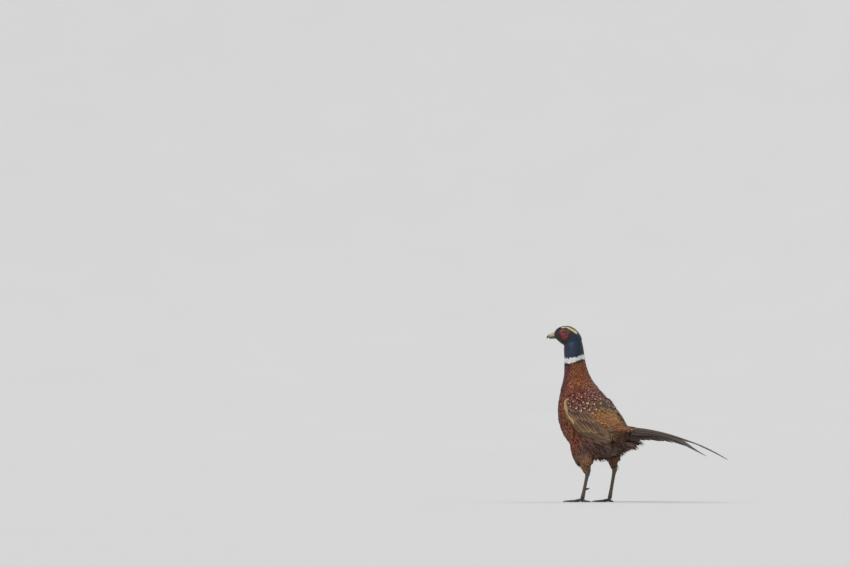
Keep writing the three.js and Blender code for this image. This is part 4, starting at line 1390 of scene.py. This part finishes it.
def build_leg(side):
    toes = [f"toe_{toe}_{side}" for toe in TOES]
    leg = remade(f"leg_scales_{side}", [f"shank_{side}", *toes], 0.62, 4)
    points, normal = coordinates(leg.data), normals_of(leg.data)
    _, hock, base = (place(*p) for p in LEGS[side])
    line = unit(base - hock)
    away = points - hock
    front = unit(np.cross(line, LEFT))
    front *= -np.sign(front[1])
    shank = ramp(points[:, 2] / MM, 9, 14)
    turn = np.arctan2(away @ LEFT, away @ front) + np.pi / 3
    front_plates = scutes(away @ line / MM, turn, *SHANK_SCALES)
    out = np.hypot(*(points - base)[:, :2].T) / MM
    toe_plates = scutes(out, np.full(len(out), 0.5), *TOE_SCALES)
    pads = 0.5 + 0.5 * np.cos(out * 1.3)
    toe_height = toe_plates * ramp(normal[:, 2], -0.1, 0.5) + 0.5 * pads * ramp(-normal[:, 2], 0.2, 0.7)
    height = shank * front_plates + (1 - shank) * toe_height
    off_floor = ramp(points[:, 2] / MM, 0.3, 1.2)
    moved = points + normal * ((SCALE_HEIGHT * height - SCALE_BASE) * off_floor * MM)[:, None]
    moved[:, 2] = np.maximum(moved[:, 2], 0)
    move_points(leg, moved)
    add_attribute(leg, "height", height)
    add_attribute(leg, "spot", points / MM)
    box_unwrap(leg)
    settle(leg, "leg_scale", leg_material, f"shank_{side}", *toes)
    for name in (*[f"claw_{toe}_{side}" for toe in TOES], f"spur_{side}"):
        claw = remade(f"{name}_horn", [name], 0.4, 3)
        points = coordinates(claw.data)
        points[:, 2] = np.maximum(points[:, 2], 0)
        move_points(claw, points)
        add_attribute(claw, "spot", points / MM)
        box_unwrap(claw)
        settle(claw, "claw", claw_material, name)


def leg_colour(tree):
    grain = noise(read(tree, "spot"), 0.35, 3.0)
    found = mixed(grain, rgba(72, 61, 54), rgba(104, 91, 80))
    return mixed(between(read(tree, "height", "Fac"), 0.45, 0.05), found, rgba(44, 36, 32)), grain


def claw_colour(tree):
    grain = noise(read(tree, "spot"), 0.8, 3.0)
    return mixed(grain, rgba(38, 32, 28), rgba(78, 68, 58)), grain


tail_material = new_material("tail_feather", tail_colour, (0.4, 0.12), Roughness=0.55,
                             Specular_IOR_Level=0.35)
wisp_material = new_material("wisp", wisp_colour, (0.0, 0.1), Roughness=0.8, Specular_IOR_Level=0.2)
upper_colour = bill_colour((184, 172, 142), (66, 56, 48))
lower_colour = bill_colour((84, 70, 60), (58, 48, 42))
horn_upper = new_material("horn_upper", upper_colour, (0.15, 0.1), Roughness=0.42)
horn_lower = new_material("horn_lower", lower_colour, (0.15, 0.1), Roughness=0.45)
eye_material = new_material("wet_eye", eye_colour, (0.0, 0.1), Roughness=0.3, Specular_IOR_Level=0.0,
                            Coat_Weight=0.8, Coat_Roughness=0.02)
wattle_material = new_material("bare_red_skin", wattle_colour, (0.3, 0.2), Roughness=0.5)
leg_material = new_material("leg_skin", leg_colour, (0.2, 0.1), Roughness=0.55)
claw_material = new_material("claw_horn", claw_colour, (0.2, 0.1), Roughness=0.35)

build_skin()
build_trunk_coat()
build_neck_coat()
build_head_coat()
build_thigh_coat()
build_bill()
build_body_wisps()
build_thigh_wisps()
for side in SIDES:
    build_wing(f"wing_feathers_{side}", SIDES[side])
    build_tail(side)
    build_wattle(side)
    build_eye(side)
    build_leg(side)
bpy.data.objects.remove(outer)


# The stage: a wide pale floor that turns up far behind the bird, even light and one soft key.
CAMERA_SIDE = 145  # towards the camera the floor stays level
FLOOR_RADII = (0.6, 2.5, 6, 10, 14, 15.5, 17, 18.5, 20, 21.5, 23, 24)
FLOOR_TURNS = 120
FLOOR_RISE = 4.5
SKY = (0.62, 0.63, 0.64, 1)
SKY_STRENGTH = 0.9


def floor_colour(tree):
    grain = noise(node("ShaderNodeTexCoord", {}, tree, "Object"), 3.0)
    return mixed(grain, (0.62, 0.62, 0.61, 1), (0.64, 0.64, 0.63, 1)), grain


def build_stage():
    turn = np.linspace(0, 2 * np.pi, FLOOR_TURNS, endpoint=False)
    away = ramp(np.cos(turn - math.radians(CAMERA_SIDE - 90)), 0.93, 0.55)
    points = []
    for radius in FLOOR_RADII:
        rise = FLOOR_RISE * ramp(radius, 14, 24.5) * away
        points.append(np.stack([radius * np.cos(turn), radius * np.sin(turn), rise], 1))
    points.append(points[-1] * np.where(away[:, None] < 0.5, [2.0, 2.0, 1], [1.04, 1.04, 1.6]))
    index = np.arange(len(points) * FLOOR_TURNS).reshape(-1, FLOOR_TURNS)
    last = FLOOR_TURNS - 1
    centre = [index[0][[last - i, last - 1 - i, i + 1, i]] for i in range(FLOOR_TURNS // 2 - 1)]
    floor = new_object("floor", np.vstack(points), np.vstack([ring_faces(index, -1), centre]))
    floor.data.materials.append(new_material("pale_floor", floor_colour, (0.0, 0.1), Roughness=0.95))
    world = bpy.data.worlds.new("sky")
    bpy.context.scene.world = world
    world.use_nodes = True
    world.node_tree.nodes["Background"].inputs["Color"].default_value = SKY
    world.node_tree.nodes["Background"].inputs["Strength"].default_value = SKY_STRENGTH


CAMERA_AZIMUTH = 146.3
CAMERA_RISE = 0.17  # height of the camera over the floor
CAMERA_LENS = 400
CAMERA_DISTANCE = 21.72
AIM = place(329.7, 230.9, 502.6)  # where the middle of the picture looks, level with the bird


def pointed(name, data, way):
    """A camera or lamp that looks along a direction."""
    made = bpy.data.objects.new(name, data)
    bpy.context.scene.collection.objects.link(made)
    made.rotation_mode = "QUATERNION"
    made.rotation_quaternion = Vector(way).to_track_quat("-Z", "Y")
    return made


def build_camera_and_lights():
    turn = math.radians(CAMERA_AZIMUTH)
    back = np.array([math.sin(turn), -math.cos(turn), 0])
    right = np.cross(UP, back)
    data = bpy.data.cameras.new("camera")
    data.lens = CAMERA_LENS
    data.clip_end = 300
    stand = AIM * [1, 1, 0] + back * CAMERA_DISTANCE + UP * CAMERA_RISE
    camera = pointed("camera", data, Vector(AIM) - Vector(stand))
    camera.location = stand
    bpy.context.scene.camera = camera
    for name, where, softness, power in (
        ("key", back * 1.0 - right * 0.9 + UP * 1.5, 35, 1.5),
        ("rim", -back * 1.0 + right * 0.8 + UP * 1.2, 45, 0.6),
    ):
        lamp = bpy.data.lights.new(name, "SUN")
        lamp.angle, lamp.energy = math.radians(softness), power
        pointed(name, lamp, -where)


build_stage()
build_camera_and_lights()
bpy.context.scene.view_settings.view_transform = "Standard"
